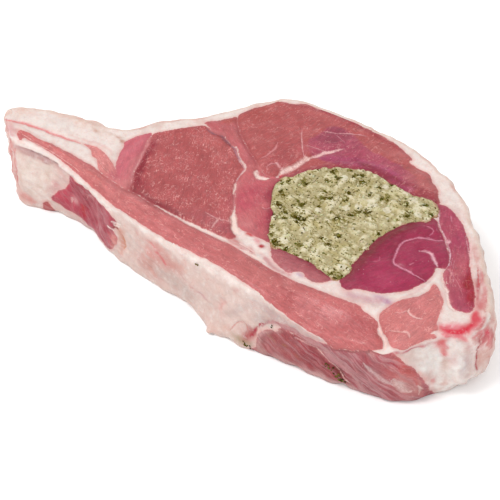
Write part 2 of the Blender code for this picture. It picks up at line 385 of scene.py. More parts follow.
# clockwise from the tail tip: cut edge x, y, its height, foot x, y, belly of the wall at half height
stations = [
    (-107.9, 1.4, 30, -103.6, 0.4, 1), (-107.3, 4, 30, -103.2, 2.4, 1.2),
    (-104.7, 6.2, 30, -101.6, 4.4, 1.6), (-99.4, 9, 30, -98, 6.5, 2), (-91.4, 11.6, 29.8, -91.4, 9.4, 2.5),
    (-84.4, 14.1, 29.4, -84.4, 11.8, 2.5), (-79.6, 14.6, 29.2, -79.6, 12.8, 2.5),
    (-75.6, 15.8, 29, -75.5, 13.4, 2.5), (-66.2, 16.7, 28.5, -66, 14.4, 2.5),
    (-61.6, 21.9, 28, -60, 19.8, 2.5), (-56.9, 28.8, 28, -55.4, 26.8, 2.5),
    (-48.9, 35.9, 28, -47.2, 33.8, 2.5), (-40.4, 43.9, 28, -38.9, 42.4, 2.5),
    (-34.4, 52, 28, -32.4, 51, 2.5), (-27.2, 61.9, 28, -26, 59.8, 2.5), (-18.4, 66.9, 28, -18, 64.4, 2.5),
    (-9, 67.4, 28, -9, 65.6, 2.5), (0, 67.6, 28, 0, 66, 2.5), (14.1, 66.8, 28, 14, 65.2, 2.5),
    (32.2, 64, 28, 31.2, 61.8, 2.5), (46.4, 57.8, 28, 45.4, 55.8, 2.5), (57.6, 50.7, 28, 56.4, 48.8, 2.5),
    (66, 41.4, 28, 64.4, 39.8, 2.5), (73.5, 31.9, 28, 71.4, 30.9, 2.5), (80.6, 22.1, 28, 78.2, 21, 2.5),
    (87.4, 13.3, 28, 84.9, 12.6, 2.5), (91, 3.9, 28, 89.4, 4.1, 3), (91, -3, 28, 89, -4.2, 3),
    (86, -9, 28, 86, -10.2, 2), (80, -14.5, 28, 81.3, -14.4, 1), (76, -20, 27.5, 77.6, -20.1, 1),
    (68.5, -26, 26, 70.8, -24.5, 1), (58, -27.8, 24, 59.9, -26.5, 1), (44.5, -29.2, 21.5, 46, -28.7, 1),
    (33, -28.6, 22.5, 34, -29.2, 1), (23, -27.8, 26, 24, -28.7, 1), (11, -26.3, 28, 12, -30, 0),
    (-3, -24.7, 28, -3, -26.8, 0), (-20, -22.5, 28, -20, -21.9, 1), (-36, -20, 28, -36, -19.7, 0.5),
    (-50, -17.5, 28, -50, -15.8, 0), (-62, -14.2, 28, -62, -10.5, -1), (-74, -10.8, 28.5, -74, -9.1, -0.5),
    (-86, -9.2, 29, -86, -11.2, 1), (-96, -9.8, 30, -93.8, -10.8, 1), (-103, -5.2, 30, -98.5, -6.6, 0.5),
]

# clockwise outline of the stuffing pocket
pocket = [
    (-2.5, 21), (0, 27), (4.5, 33.6), (10, 39.3), (17, 42.6), (25, 44.3), (33, 43.4), (40, 41.4),
    (46, 43.2), (51.3, 41.6), (53.8, 37.6), (53, 33.4), (47.6, 29), (43.5, 21), (41.5, 12), (40.7, 2),
    (41.2, -5), (38.5, -8.6), (32, -7.5), (22, -6), (13.5, -6), (9, -2.5), (6.8, 2), (4.5, 7.5),
    (0.5, 13.5),
]

# broad lumps and hollows of the torn wall: x, y, z, reach along, reach up, depth
wallLumps = [
    (-85, -9.5, 26.2, 11, 1.8, -0.9), (-86, -11, 14, 9, 7, 1.0), (-62, -12.5, 13, 10, 9, -0.9),
    (-46, -18, 19, 3, 4, 0.9), (-26, -22, 21, 6, 4, 0.5), (4, -28, 2, 6, 3.5, 2.0),
    (36, -29, 9, 11, 7, -1.1), (62, -27, 14, 4, 10, 0.6), (79, -17, 9, 4, 5, 1.1), (83, -12, 21, 4, 4, 1.2),
    (88, -8, 11, 4, 5, 1.0), (91, -3, 16, 2.5, 9, -1.2), (91, 4, 11, 4, 5, 0.9),
]

# broad swellings of the cut face: outline, rise, width of the sloping edge
swellings = [
    ([(-99, -2.5), (-80, -3), (-60, -6.5), (-45, -9), (-20, -11.2), (0, -13), (20, -16), (45, -16),
      (60, -19), (66, -25), (58, -29), (44, -31), (32, -30), (10, -26), (-10, -23.5), (-40, -19),
      (-60, -13), (-80, -7.6), (-97, -5.5)], 1.1, 3.5),
    ([(-55, 22), (-50, 29), (-44, 33), (-38, 34.5), (-32, 33), (-25, 30.5), (-20, 25), (-16, 19), (-13, 10),
      (-8, 1), (-2, -8), (-10, -11.5), (-25, -11), (-40, -9.5), (-46, -7), (-50, 4), (-53, 14)], -0.8, 4.0),
    ([(56, 34), (50, 30), (44, 21), (42, 10), (41.5, -9), (50, -8.5), (57, -6), (63, 3), (67, 11), (66, 21),
      (60, 30)], 0.7, 3.0),
    ([(53, 43), (58, 42), (65, 36), (73, 24), (81, 11), (84, 2), (78, 0), (71, 9), (68, 18), (62, 28),
      (55, 36)], -0.5, 2.5),
    ([(68, 4), (73, 2), (77, -8), (79, -14), (75, -22), (67, -24), (61, -17), (64, -9)], 0.5, 2.5),
    ([(-73, 4), (-66, 5), (-60, 2), (-55, -3), (-52, -7), (-58, -6), (-66, -1)], -0.5, 2.0),
]

# lean muscles on the cut face: outline, meat tone, direction of the fibres, how marbled
muscles = {
    "strip": {
        "outline": [
            (-96.7, -5.6), (-96.3, -4.4), (-94, -4.1), (-91, -4.2), (-88, -4.5), (-81, -4.1), (-74.3, -3.9),
            (-71.4, -4.3), (-65, -4.9), (-61, -5.6), (-57, -6.9), (-50, -8.4), (-44.7, -8.7), (-39, -9.5),
            (-30.6, -10.7), (-22, -11.9), (-14, -12.3), (-6, -13), (0, -12.8), (8, -14.2), (16, -15.6),
            (25, -16.3), (35, -16.2), (44.5, -15.3), (51.4, -15.2), (54, -16), (59, -17.6), (61.7, -19.1),
            (61.6, -20.8), (62.3, -22.2), (65.5, -24.8), (67, -27.5), (66.7, -28.9), (61.3, -33.2),
            (59, -34.4), (54, -36.2), (46, -34.7), (38, -33.1), (32.7, -31.9), (24, -29), (19, -27.4),
            (12, -25.9), (5.8, -25), (-0.6, -23.9), (-7, -23.6), (-17, -23.2), (-27.5, -21.6), (-37.7, -20),
            (-44.7, -18.2), (-52, -16.2), (-56, -14.8), (-65.3, -11.6), (-69.5, -10.6), (-77.7, -8.5),
            (-84.9, -7.7), (-91.2, -7.1), (-92.7, -7.6), (-92.6, -8.6), (-93.2, -9.3), (-94.4, -8.4),
            (-96, -7.1)],
        "tone": (205, 115, 115), "angle": -14, "marbling": 0.7},
    "eye": {
        "outline": [
            (-54.4, 20.6), (-54, 22.5), (-51, 26), (-48.6, 28.6), (-44, 32.6), (-42, 34.6), (-39.5, 35),
            (-37.3, 34.2), (-34, 33.8), (-32, 33.9), (-30.2, 32.5), (-26.6, 31.1), (-24.6, 30.6),
            (-22.5, 28.2), (-20.2, 25.2), (-18.2, 24.3), (-16.4, 22.7), (-15.9, 20.2), (-15.6, 17.1),
            (-14.8, 14.7), (-13.2, 11.3), (-11.2, 8.3), (-8.9, 4.2), (-7.7, 1), (-7.2, -0.7), (-4.7, -4.2),
            (-2.2, -7.2), (-0.6, -8.4), (-0.5, -9.5), (-2, -11), (-8, -11.2), (-14, -10.9), (-19, -11),
            (-22, -11.2), (-30, -10.3), (-35, -10), (-40, -9.1), (-45.2, -8.6), (-47, -5), (-48.9, 0),
            (-50.2, 4), (-51.6, 9), (-53.1, 13), (-54.2, 17)],
        "tone": (187, 95, 96), "angle": 112, "marbling": 1.0},
    "band": {
        "outline": [
            (-56, 21.3), (-54.8, 20.8), (-54.5, 18), (-53.6, 14.5), (-52.2, 11), (-50.8, 6), (-49.4, 1),
            (-47.4, -4), (-45.4, -8.6), (-48, -8.4), (-51, -7.4), (-53, -5), (-55, -2.5), (-56.9, 0),
            (-58.2, 3.3), (-59.1, 5.9), (-59.6, 8.8), (-60.4, 10.4), (-61, 12), (-60.2, 14.5), (-59.4, 17),
            (-57.5, 20)],
        "tone": (211, 113, 124), "angle": 110, "marbling": 0.15},
    "tailMuscle": {
        "outline": [
            (-73, 2.9), (-70.7, 3.5), (-68.5, 4.1), (-66.5, 3.8), (-64.2, 3.1), (-61.9, 2.3), (-60.2, 1.1),
            (-58, -0.1), (-55.9, -1.6), (-53.3, -3.8), (-50, -6.7), (-48.4, -8.3), (-51.2, -8.1),
            (-54.2, -7.5), (-57.4, -6.6), (-60, -5.6), (-62.3, -3.7), (-64.6, -1.4), (-66.9, -0.6),
            (-68.8, 1.3), (-70.6, 2)],
        "tone": (225, 141, 138), "angle": -35, "marbling": 1.4},
    "upper": {
        "outline": [
            (-33.2, 45.8), (-32.7, 49), (-31.2, 52.4), (-28.6, 55.8), (-26.6, 58.8), (-24.6, 61.2),
            (-22, 62), (-18, 63.6), (-14, 65.4), (-10, 64.8), (-7.4, 65.8), (-3.4, 66.2), (1.2, 66),
            (8.4, 64.9), (17, 64.3), (22, 63.2), (25, 62.6), (28, 61.2), (31, 59.6), (33.3, 58.2),
            (32.6, 56.6), (35, 55.8), (40, 55), (43, 53.5), (45, 51.5), (48, 49.3), (50.3, 45.8),
            (52, 42.6), (46, 41), (30, 40), (12, 38), (5, 30), (0, 24), (-3, 24.6), (-6, 23.8), (-9.5, 24),
            (-15, 28.4), (-20, 32), (-25, 36), (-31, 42)],
        "tone": (187, 96, 96), "angle": 70, "marbling": 0.55},
    "middle": {
        "outline": [
            (-38.5, 40), (-36, 43), (-33.5, 45.5), (-31.3, 42.4), (-25.3, 36.2), (-20.2, 32.2),
            (-15.2, 28.6), (-9.7, 24.2), (-6, 23.9), (-3, 24.8), (0, 24), (3, 15), (8, 8), (11, 0),
            (12, -5), (8, -5.2), (3, -4.8), (0, -5), (-3, -3.6), (-6, 0), (-8.8, 4.6), (-12.7, 10.9),
            (-14.6, 14.7), (-15.3, 17.2), (-15.4, 21), (-16.3, 23.9), (-19.8, 25.9), (-24.3, 31.1),
            (-27, 31.5), (-30, 32.8), (-31.5, 34), (-34, 33.6), (-37, 34), (-40, 35.6), (-42, 36),
            (-41, 38)],
        "tone": (203, 108, 113), "angle": -38, "marbling": 0.3},
    "outer": {
        "outline": [
            (52, 42.5), (57, 42.3), (62, 38.8), (66, 35), (69.5, 31), (71.5, 27.5), (74, 22), (76, 19),
            (80.2, 13), (83, 7.6), (84.6, 4.6), (84.8, 2), (84, 0.4), (81.4, -0.1), (79.4, 0), (77.4, 1.4),
            (75.5, 3.6), (75, 4.4), (72.9, 6.8), (70.4, 9.6), (68.4, 14), (68.2, 18.2), (66.2, 22.2),
            (63.8, 26), (60.3, 30), (57.3, 33), (55.7, 35.5), (54, 38), (52.5, 40.5)],
        "tone": (183, 84, 104), "angle": -65, "marbling": 0.35},
    "coiled": {
        "outline": [
            (55.3, 34.7), (50, 36), (45, 34), (42, 26), (40, 15), (38, 0), (39.5, -7), (41.3, -10),
            (43, -11), (45.5, -10.5), (47, -9), (50, -8), (54, -7), (57, -5.5), (59.5, -3), (61.8, -1),
            (63.5, 2), (65.2, 5.5), (66.2, 9), (66.1, 11.6), (65.6, 13.9), (67.6, 14.8), (68.5, 16),
            (68.1, 18.2), (66, 22.2), (63.5, 25.8), (60, 29.8), (57, 32.8)],
        "tone": (166, 57, 86), "angle": 60, "marbling": 0.12},
    "underPocket": {
        "outline": [
            (11.5, -5), (14, -9), (16, -11.5), (20, -13.3), (24, -14.3), (26, -12.5), (27.5, -11.7),
            (29, -12), (31, -13.3), (33.5, -13.6), (36, -12.3), (38, -10), (39.5, -8.4), (38, -4), (25, -2),
            (14, -2)],
        "tone": (186, 106, 112), "angle": 10, "marbling": 0.3},
    "corner": {
        "outline": [
            (68.3, 6.2), (69.5, 6.7), (71.2, 5.6), (72.6, 3.7), (74.6, 1.7), (75.6, -0.9), (76.1, -3.3),
            (76.6, -6.6), (77.2, -8.4), (78.9, -11), (77.9, -12.6), (77.6, -14.3), (78.7, -13.5),
            (79.8, -14.3), (79.7, -15.4), (78.4, -17.2), (76.6, -19.3), (75.3, -21.9), (73.9, -24.7),
            (72.2, -25.6), (69.8, -26), (68.3, -25.1), (66.5, -23.2), (64.2, -21.5), (62.1, -19.7),
            (60.1, -16.7), (59.1, -14.2), (59.8, -11.4), (61.1, -8.2), (62.6, -5.4), (64.9, -2.6),
            (66.9, -0.6), (68.2, 2.6)],
        "tone": (215, 128, 126), "angle": 75, "marbling": 0.8},
}

# thin seams on the cut face: line, half width, seam tone
seams = [
    ([(-104.3, -2.9), (-102, -1.9), (-99.8, -1.2), (-97, -0.5), (-94, -0.3), (-90.6, 0), (-86.5, 0.6),
      (-82.5, 1.2), (-78.3, 1.6), (-74.4, 2.5)], 0.5, (226, 138, 138)),
    ([(-94.2, -6.2), (-90.4, -6.4), (-87.2, -7), (-83.5, -7.3), (-79.9, -7.4), (-75.8, -8.1), (-72.6, -8.7),
      (-69.1, -9.4), (-65.5, -10.1)], 0.14, (236, 182, 176)),
    ([(-39.8, 34.4), (-38.3, 33.6), (-35.6, 32.7), (-32.3, 33), (-30.9, 32.2), (-28.2, 31.3),
      (-25.8, 30.4)], 0.55, (150, 98, 106)),
    ([(-27, 31), (-25, 30), (-22.4, 27.4), (-19.8, 25.2)], 0.45, (176, 124, 134)),
    ([(-30, 32), (-27, 30.7), (-24.5, 30.4), (-22.3, 27.6), (-20.5, 25.2), (-18.5, 24), (-16.6, 22.6),
      (-15.9, 20), (-15.4, 17), (-14.8, 14)], 0.2, (214, 160, 164)),
    ([(-15, 14.5), (-13.8, 12), (-12.4, 9.2)], 0.3, (240, 208, 200)),
    ([(-12.6, 9.6), (-10.4, 6), (-8.6, 3)], 0.13, (206, 140, 144)),
    ([(-7.6, 1.4), (-6.4, -0.8), (-4.8, -2.8), (-3.2, -4.8), (-1.4, -6.4), (0.4, -6.8)],
      0.95, (243, 218, 208)),
    ([(-21.5, -11.2), (-17, -11.4), (-12, -11.7), (-7, -12), (-2, -11.6)], 0.5, (243, 216, 208)),
    ([(4, -13), (8, -13.4), (12, -14), (15, -14)], 0.5, (242, 214, 206)),
    ([(2, -10.6), (6, -11.2), (10, -12.4)], 0.25, (240, 204, 197)),
    ([(-10.2, -3.4), (-10.3, -6), (-10, -9.6)], 0.35, (226, 170, 168)),
    ([(-16, -4.2), (-13, -4.5), (-10.2, -4.6)], 0.25, (222, 160, 160)),
    ([(-9.8, -4.5), (-8, -3.7), (-6.2, -4)], 0.22, (222, 160, 160)),
    ([(-9.2, 51.6), (-7.5, 48.5), (-5.6, 45.8), (-3.4, 42.6), (-0.9, 39.2)], 0.22, (224, 165, 165)),
    ([(8, 48.4), (6, 46.4), (4, 43.8), (2.4, 41.4), (0.8, 39.8)], 0.6, (240, 196, 192)),
    ([(1.4, 40), (0.4, 38.7), (-0.4, 36.3), (-1.3, 32.4), (-3, 28.9), (-3.9, 25)], 1.1, (246, 212, 204)),
    ([(3.6, 44.2), (6.2, 47.4), (9.6, 50.6)], 0.35, (240, 196, 194)),
    ([(-9.8, 52.6), (-7.6, 48.6), (-4.4, 44), (-1, 39.4)], 0.1, (214, 140, 146)),
    ([(-1.9, 55.3), (2.8, 56.4), (7.5, 59.4), (13.3, 61)], 0.22, (218, 158, 162)),
    ([(1.8, 55.8), (5.1, 55), (7.8, 53.8)], 0.14, (206, 136, 146)),
    ([(-3.9, 44.9), (0, 45.4), (4.5, 45.8)], 0.16, (214, 148, 152)),
    ([(-11.8, 24), (-11, 22.4), (-9.6, 21.1), (-7.3, 21.4), (-5.8, 23)], 0.75, (246, 218, 210)),
    ([(-6, 23.2), (-4.6, 23.8), (-3.6, 24.8)], 0.5, (226, 120, 128)),
    ([(-8.6, 25), (-9.9, 27.6), (-9.5, 30), (-7.6, 31.1)], 0.18, (216, 142, 146)),
    ([(-2.6, 28.6), (-1.3, 32), (-0.6, 35.2)], 0.32, (206, 66, 82)),
    ([(-3.2, 25), (-2.8, 27.4)], 0.3, (214, 80, 94)),
    ([(-13.2, 41), (-12.3, 37), (-13, 33), (-14, 30)], 0.28, (214, 140, 142)),
    ([(-8.5, 31.3), (-6.8, 30.6), (-5, 29.4)], 0.35, (226, 165, 165)),
    ([(51.4, 42.3), (53.3, 38.6), (56, 34.9), (60, 30.4), (63.2, 27.2), (65.6, 23.8), (67.2, 20.5),
      (68.3, 17.8), (68.2, 15)], 0.12, (232, 186, 196)),
    ([(52, 40.5), (53.5, 38), (55, 36)], 0.85, (232, 200, 200)),
    ([(69.8, 31.8), (71.6, 28.2), (73.4, 24.2), (74.8, 20.6)], 0.28, (238, 198, 196)),
    ([(77.4, 21.4), (80, 17), (82.6, 12.6)], 0.2, (196, 88, 92)),
    ([(58.5, 39), (60.2, 36.6)], 0.22, (208, 130, 145)),
    ([(62.3, 27.4), (60, 26), (57, 25.2), (54, 23.5), (51.5, 21), (50.1, 18.6), (50.2, 15), (50.8, 11.5),
      (51.6, 8.8), (53.4, 7.7), (58, 7.3), (62, 7), (65.3, 6.6)], 0.34, (222, 148, 168)),
    ([(62.4, 27.4), (64, 27.2)], 0.7, (232, 180, 188)),
    ([(57, 18), (59, 19.1), (61, 18.9), (63.4, 16.8), (65.6, 14.6)], 0.5, (234, 180, 190)),
    ([(52.6, 30), (56, 30), (56.8, 28.6), (56.3, 26.4)], 0.22, (208, 126, 148)),
    ([(57.3, 9.8), (57.9, 11), (58.4, 11.8)], 0.25, (205, 120, 140)),
    ([(46.8, 9), (47.2, 6.5), (45.6, 5)], 0.3, (190, 95, 118)),
    ([(66.6, -7.6), (67.6, -9.6), (70, -10), (72.6, -9.4)], 0.3, (240, 190, 184)),
    ([(69, 21.3), (70.2, 16.5), (72.7, 13), (74, 9)], 0.08, (214, 140, 150)),
    ([(72.7, 13), (75.8, 10.6), (79.2, 6.8)], 0.08, (214, 136, 146)),
    ([(68.8, 15.6), (71.9, 13.1)], 0.08, (212, 138, 148)),
    ([(67.4, 32.9), (70.6, 28), (74.5, 22.4)], 0.14, (228, 164, 172)),
    ([(-0.3, 8.5), (1.4, 8.2), (3, 10.4)], 0.1, (228, 160, 162)),
    ([(65.4, -20), (68.6, -18.4), (71, -17.4), (73, -19.4)], 0.25, (236, 182, 176)),
    ([(63, -12), (65, -11), (66.4, -8.6)], 0.16, (228, 160, 158)),
    ([(60.4, -17.8), (62.4, -20.4), (64.6, -22.6), (66.8, -25), (68.4, -28.4)], 0.5, (244, 210, 202)),
    ([(69.4, 11.2), (71.4, 8.6), (73.4, 6.4), (75, 3.8), (77, 1), (79.4, -0.6)], 0.45, (243, 216, 208)),
    ([(70.4, 16), (71.6, 12.4), (72.8, 9.6)], 0.2, (222, 150, 152)),
]

# areas of another meat tone: outline, softness of the border, tone, strength
leanAreas = [
    ([(-3.7, 48.2), (-2.4, 53.9), (-0.4, 58.6), (5.4, 59.7), (10.7, 58.2), (15.3, 55.6), (22.3, 54),
      (31.1, 52.9), (38, 50.4), (42, 46.6), (40, 42), (28, 45), (17, 44), (8, 41), (2, 41), (-1, 44)],
      1.2, (178, 84, 106), 0.85),
    ([(-2.4, 50), (-1.6, 55), (0, 58.8), (5.4, 59.8), (8.6, 56.6), (6, 52), (2, 49)],
      1.6, (160, 78, 94), 0.7),
    ([(4, 41.4), (10, 46), (20, 49), (32, 48.6), (40, 45), (38, 42), (26, 45.6), (12, 42)],
      2.0, (186, 86, 122), 0.7),
]

# soft patches of another meat tone: x, y, reach x, reach y, tone, strength
leanPatches = [
    (-28, 53, 6, 8, (184, 91, 88), 0.8), (-36, 25, 10, 7, (182, 90, 90), 0.5),
    (-10, 64, 14, 2.6, (196, 108, 106), 0.6), (-26, 62.3, 4, 1.4, (170, 70, 78), 0.7),
    (-3, 65, 9, 1.3, (170, 72, 80), 0.6), (12, 63.6, 10, 1.2, (172, 76, 82), 0.6),
    (43, 50, 7, 4, (195, 112, 112), 0.8), (28, 57.5, 8, 2.5, (196, 113, 112), 0.7),
    (27, 46, 13, 1.5, (146, 58, 72), 0.85), (13, 42.4, 5, 1.8, (160, 66, 92), 0.75),
    (44, 45.3, 8, 1.4, (160, 66, 76), 0.6), (-8, 34, 5, 8, (178, 88, 92), 0.5),
    (-1.5, 44.5, 3, 3, (190, 92, 106), 0.5), (-26, 37, 9, 3, (190, 104, 104), 0.5),
    (-14, 24, 3, 4, (208, 116, 116), 0.6), (-7, 10, 4, 8, (199, 90, 104), 0.8),
    (-1.5, 17, 2.2, 5, (172, 70, 84), 0.8), (3.5, 10, 2, 4, (168, 62, 80), 0.7),
    (4, 3, 2.5, 5, (188, 76, 92), 0.6), (-2, 0, 4, 3, (206, 112, 116), 0.4),
    # painted shade: the dark patches at (-44, -5), (-34, -9) and (-52, 17) lie along the eye's sunken border
    (-1, -3, 4, 1.6, (222, 150, 150), 0.5), (-44, -5, 5, 3.5, (166, 70, 78), 0.7),
    (-34, -9, 9, 1.6, (160, 72, 78), 0.6), (-52, 17, 1.6, 6, (176, 80, 84), 0.5),
    (-30, 27, 8, 4, (196, 106, 105), 0.6), (-24, 3, 8, 6, (180, 92, 94), 0.4),
    (-12, -7, 8, 3, (186, 104, 110), 0.5), (-5, -7, 3, 3.5, (178, 88, 96), 0.6),
    (-51.2, 3, 1.6, 12, (214, 126, 130), 0.8), (-48, -6, 2, 3, (222, 140, 140), 0.8),
    (-53.5, -4.5, 2.6, 2.6, (192, 90, 108), 0.5), (-86, -5, 14, 2, (221, 124, 122), 0.8),
    (-62, -9, 12, 2, (212, 120, 118), 0.6), (-44, -11, 7, 1.6, (216, 128, 128), 0.4),
    (20, -20, 12, 4, (204, 124, 122), 0.5), (34, -26, 16, 3, (200, 112, 113), 0.6),
    (56, -23, 7, 4, (190, 98, 101), 0.8), (56, 38.5, 4, 3, (182, 78, 104), 0.6),
    (75, 13, 5, 6, (192, 96, 108), 0.6), (78.6, 14.4, 2.2, 4.6, (156, 28, 50), 1),
    (82, 8.6, 1.5, 4, (168, 42, 62), 0.95), (72.5, 19, 2.5, 6, (196, 104, 112), 0.5),
    (66, 30, 3, 5, (178, 74, 102), 0.6), (43.3, 10, 2, 14, (134, 44, 62), 0.8),
    (47, 17, 3, 9, (150, 54, 76), 0.6), (48, 27.5, 3, 4, (140, 50, 70), 0.7),
    (54, 30, 3, 3, (152, 58, 82), 0.5), (58, 14, 5, 5, (168, 58, 90), 0.6),
    (55, 1, 8, 6, (182, 66, 98), 0.75), (44, -7, 2.5, 2.5, (168, 78, 98), 0.6),
    (63, 24, 3, 3, (176, 78, 102), 0.6), (28, -8.6, 10, 1.4, (166, 84, 92), 0.7),
    (32, -11.6, 4, 2, (192, 110, 116), 0.5), (18, -10, 3, 2.4, (178, 98, 102), 0.5),
    (73, -18, 4, 5, (217, 138, 136), 0.6), (69, -6, 4, 7, (213, 128, 128), 0.5),
]

# soft patches of another fat tone
fatPatches = [
    (-85, 11.5, 14, 1.8, (240, 212, 200), 0.8), (-103, 5, 4, 3, (238, 206, 194), 0.8),
    (-99, -6, 5, 2, (228, 178, 172), 0.8), (-102, -3.6, 3, 2, (232, 184, 178), 0.7),
    (-62.2, 11.4, 1.3, 0.7, (196, 144, 126), 0.8), (-64.6, 12.4, 1, 0.6, (200, 156, 138), 0.7),
    (-73.5, 11, 1, 0.7, (214, 170, 152), 0.7), (-66, 13.2, 6, 0.6, (222, 196, 184), 0.6),
    (-56.5, 26, 2.5, 4, (232, 208, 198), 0.7), (-45, 36.5, 5, 2.2, (234, 208, 200), 0.7),
    (-31, 52, 1.6, 5, (232, 196, 188), 0.8), (-12, 65, 4, 1, (226, 184, 172), 0.8),
    (45, 58, 8, 1.4, (244, 226, 220), 0.5), (62, 42, 4, 3, (238, 208, 202), 0.7),
    (74, 28, 3, 6, (222, 168, 162), 0.8), (80, 17.6, 2, 7, (210, 146, 146), 0.85),
    (86, 8.4, 2.2, 5, (214, 128, 128), 0.85), (88, -1.6, 1.8, 3, (232, 96, 112), 0.8),
    (85.4, -6.2, 3, 2.2, (234, 96, 114), 0.85), (88.6, 4, 1.2, 1.6, (244, 216, 208), 0.7),
    (81.6, -9, 3.4, 1.9, (238, 128, 138), 0.8), (84, -9.8, 3, 1.2, (230, 110, 122), 0.6),
    (50, -13, 6, 1.4, (238, 196, 192), 0.6), (57.4, -8.4, 3, 1.6, (200, 156, 178), 0.9),
    (51.4, -10.8, 4.4, 1.5, (226, 186, 188), 0.7), (27.5, -12.7, 1.6, 1, (190, 160, 182), 0.8),
    (73, 4.4, 2, 1.4, (236, 190, 186), 0.5), (2.6, -5.6, 1.1, 0.7, (190, 30, 52), 0.95),
    (4.4, -4.8, 1.4, 0.9, (226, 90, 102), 0.8), (9.8, -8.2, 1.1, 0.9, (180, 40, 60), 0.9),
    (7, -6.6, 1.6, 1.2, (230, 130, 136), 0.6), (-2, 27, 1, 1.8, (232, 120, 128), 0.7),
   
]

# soft strokes of another tone: line, reach, tone, strength
leanStrokes = [
    # painted shade: the first three strokes darken the eye's sunken left and lower borders, beside the band
    # and the strip that stand above it
    ([(-51.6, 18), (-50.4, 12), (-48.4, 5), (-46.2, -1), (-43.8, -7)], 1.5, (152, 52, 64), 0.85),
    ([(-50.6, 8), (-48, 1), (-45, -6)], 1.0, (136, 36, 50), 0.6),
    ([(-45.5, -7.8), (-37, -8.8), (-28, -10), (-20, -10.6)], 1.1, (150, 60, 68), 0.75),
    (pocket + pocket[:1], 1.5, (146, 52, 68), 0.7),
    ([(-54.4, 19), (-53.2, 14), (-51.8, 9), (-50.2, 3.6), (-48.6, -1), (-46.4, -6.4)],
      0.5, (226, 150, 152), 0.8),
    ([(-38, 39), (-35, 42), (-32.6, 44.4)], 2.6, (184, 92, 88), 0.8),
    ([(-7.5, -0.5), (-9.5, 4.6), (-13, 10.4), (-14.8, 16)], 0.8, (226, 150, 150), 0.4),
    ([(-33, 47), (-31, 54.5), (-26, 61)], 1.2, (176, 84, 86), 0.6),
    ([(-24, 62), (-12, 64), (0, 65.6), (14, 63.4), (30, 60)], 0.9, (164, 62, 70), 0.65),
    ([(-31.5, 42), (-25, 36), (-19, 31.2), (-12, 26)], 0.7, (168, 78, 82), 0.6),
    ([(24, -21), (31, -22.4), (38, -22)], 0.4, (178, 84, 88), 0.5),
    ([(27, -24), (36, -26), (46, -25.6)], 0.4, (178, 86, 90), 0.5),
    ([(33, -20), (41, -21), (48, -20)], 0.35, (180, 88, 92), 0.45),
    ([(44, -27.4), (52, -28), (58, -26.6)], 0.4, (178, 84, 88), 0.45),
    ([(12, -16.4), (18, -17.2), (25, -18)], 0.9, (186, 88, 92), 0.55),
    ([(-92, -5.6), (-80, -6.2), (-66, -8.6), (-54, -12), (-40, -17)], 0.8, (218, 134, 131), 0.5),
    ([(-84, -3.4), (-68, -5), (-56, -7.6)], 0.7, (196, 100, 102), 0.5),
    ([(42.5, -9), (42, 0), (42.8, 10), (45, 20), (50, 29)], 1.6, (132, 42, 58), 0.7),
    ([(84.5, 3), (82, 9), (78, 15.5), (73, 24)], 1.0, (168, 44, 62), 0.75),
    ([(68.5, 16), (70, 11), (73.4, 6), (77.5, 1.2)], 0.9, (208, 122, 130), 0.6),
]

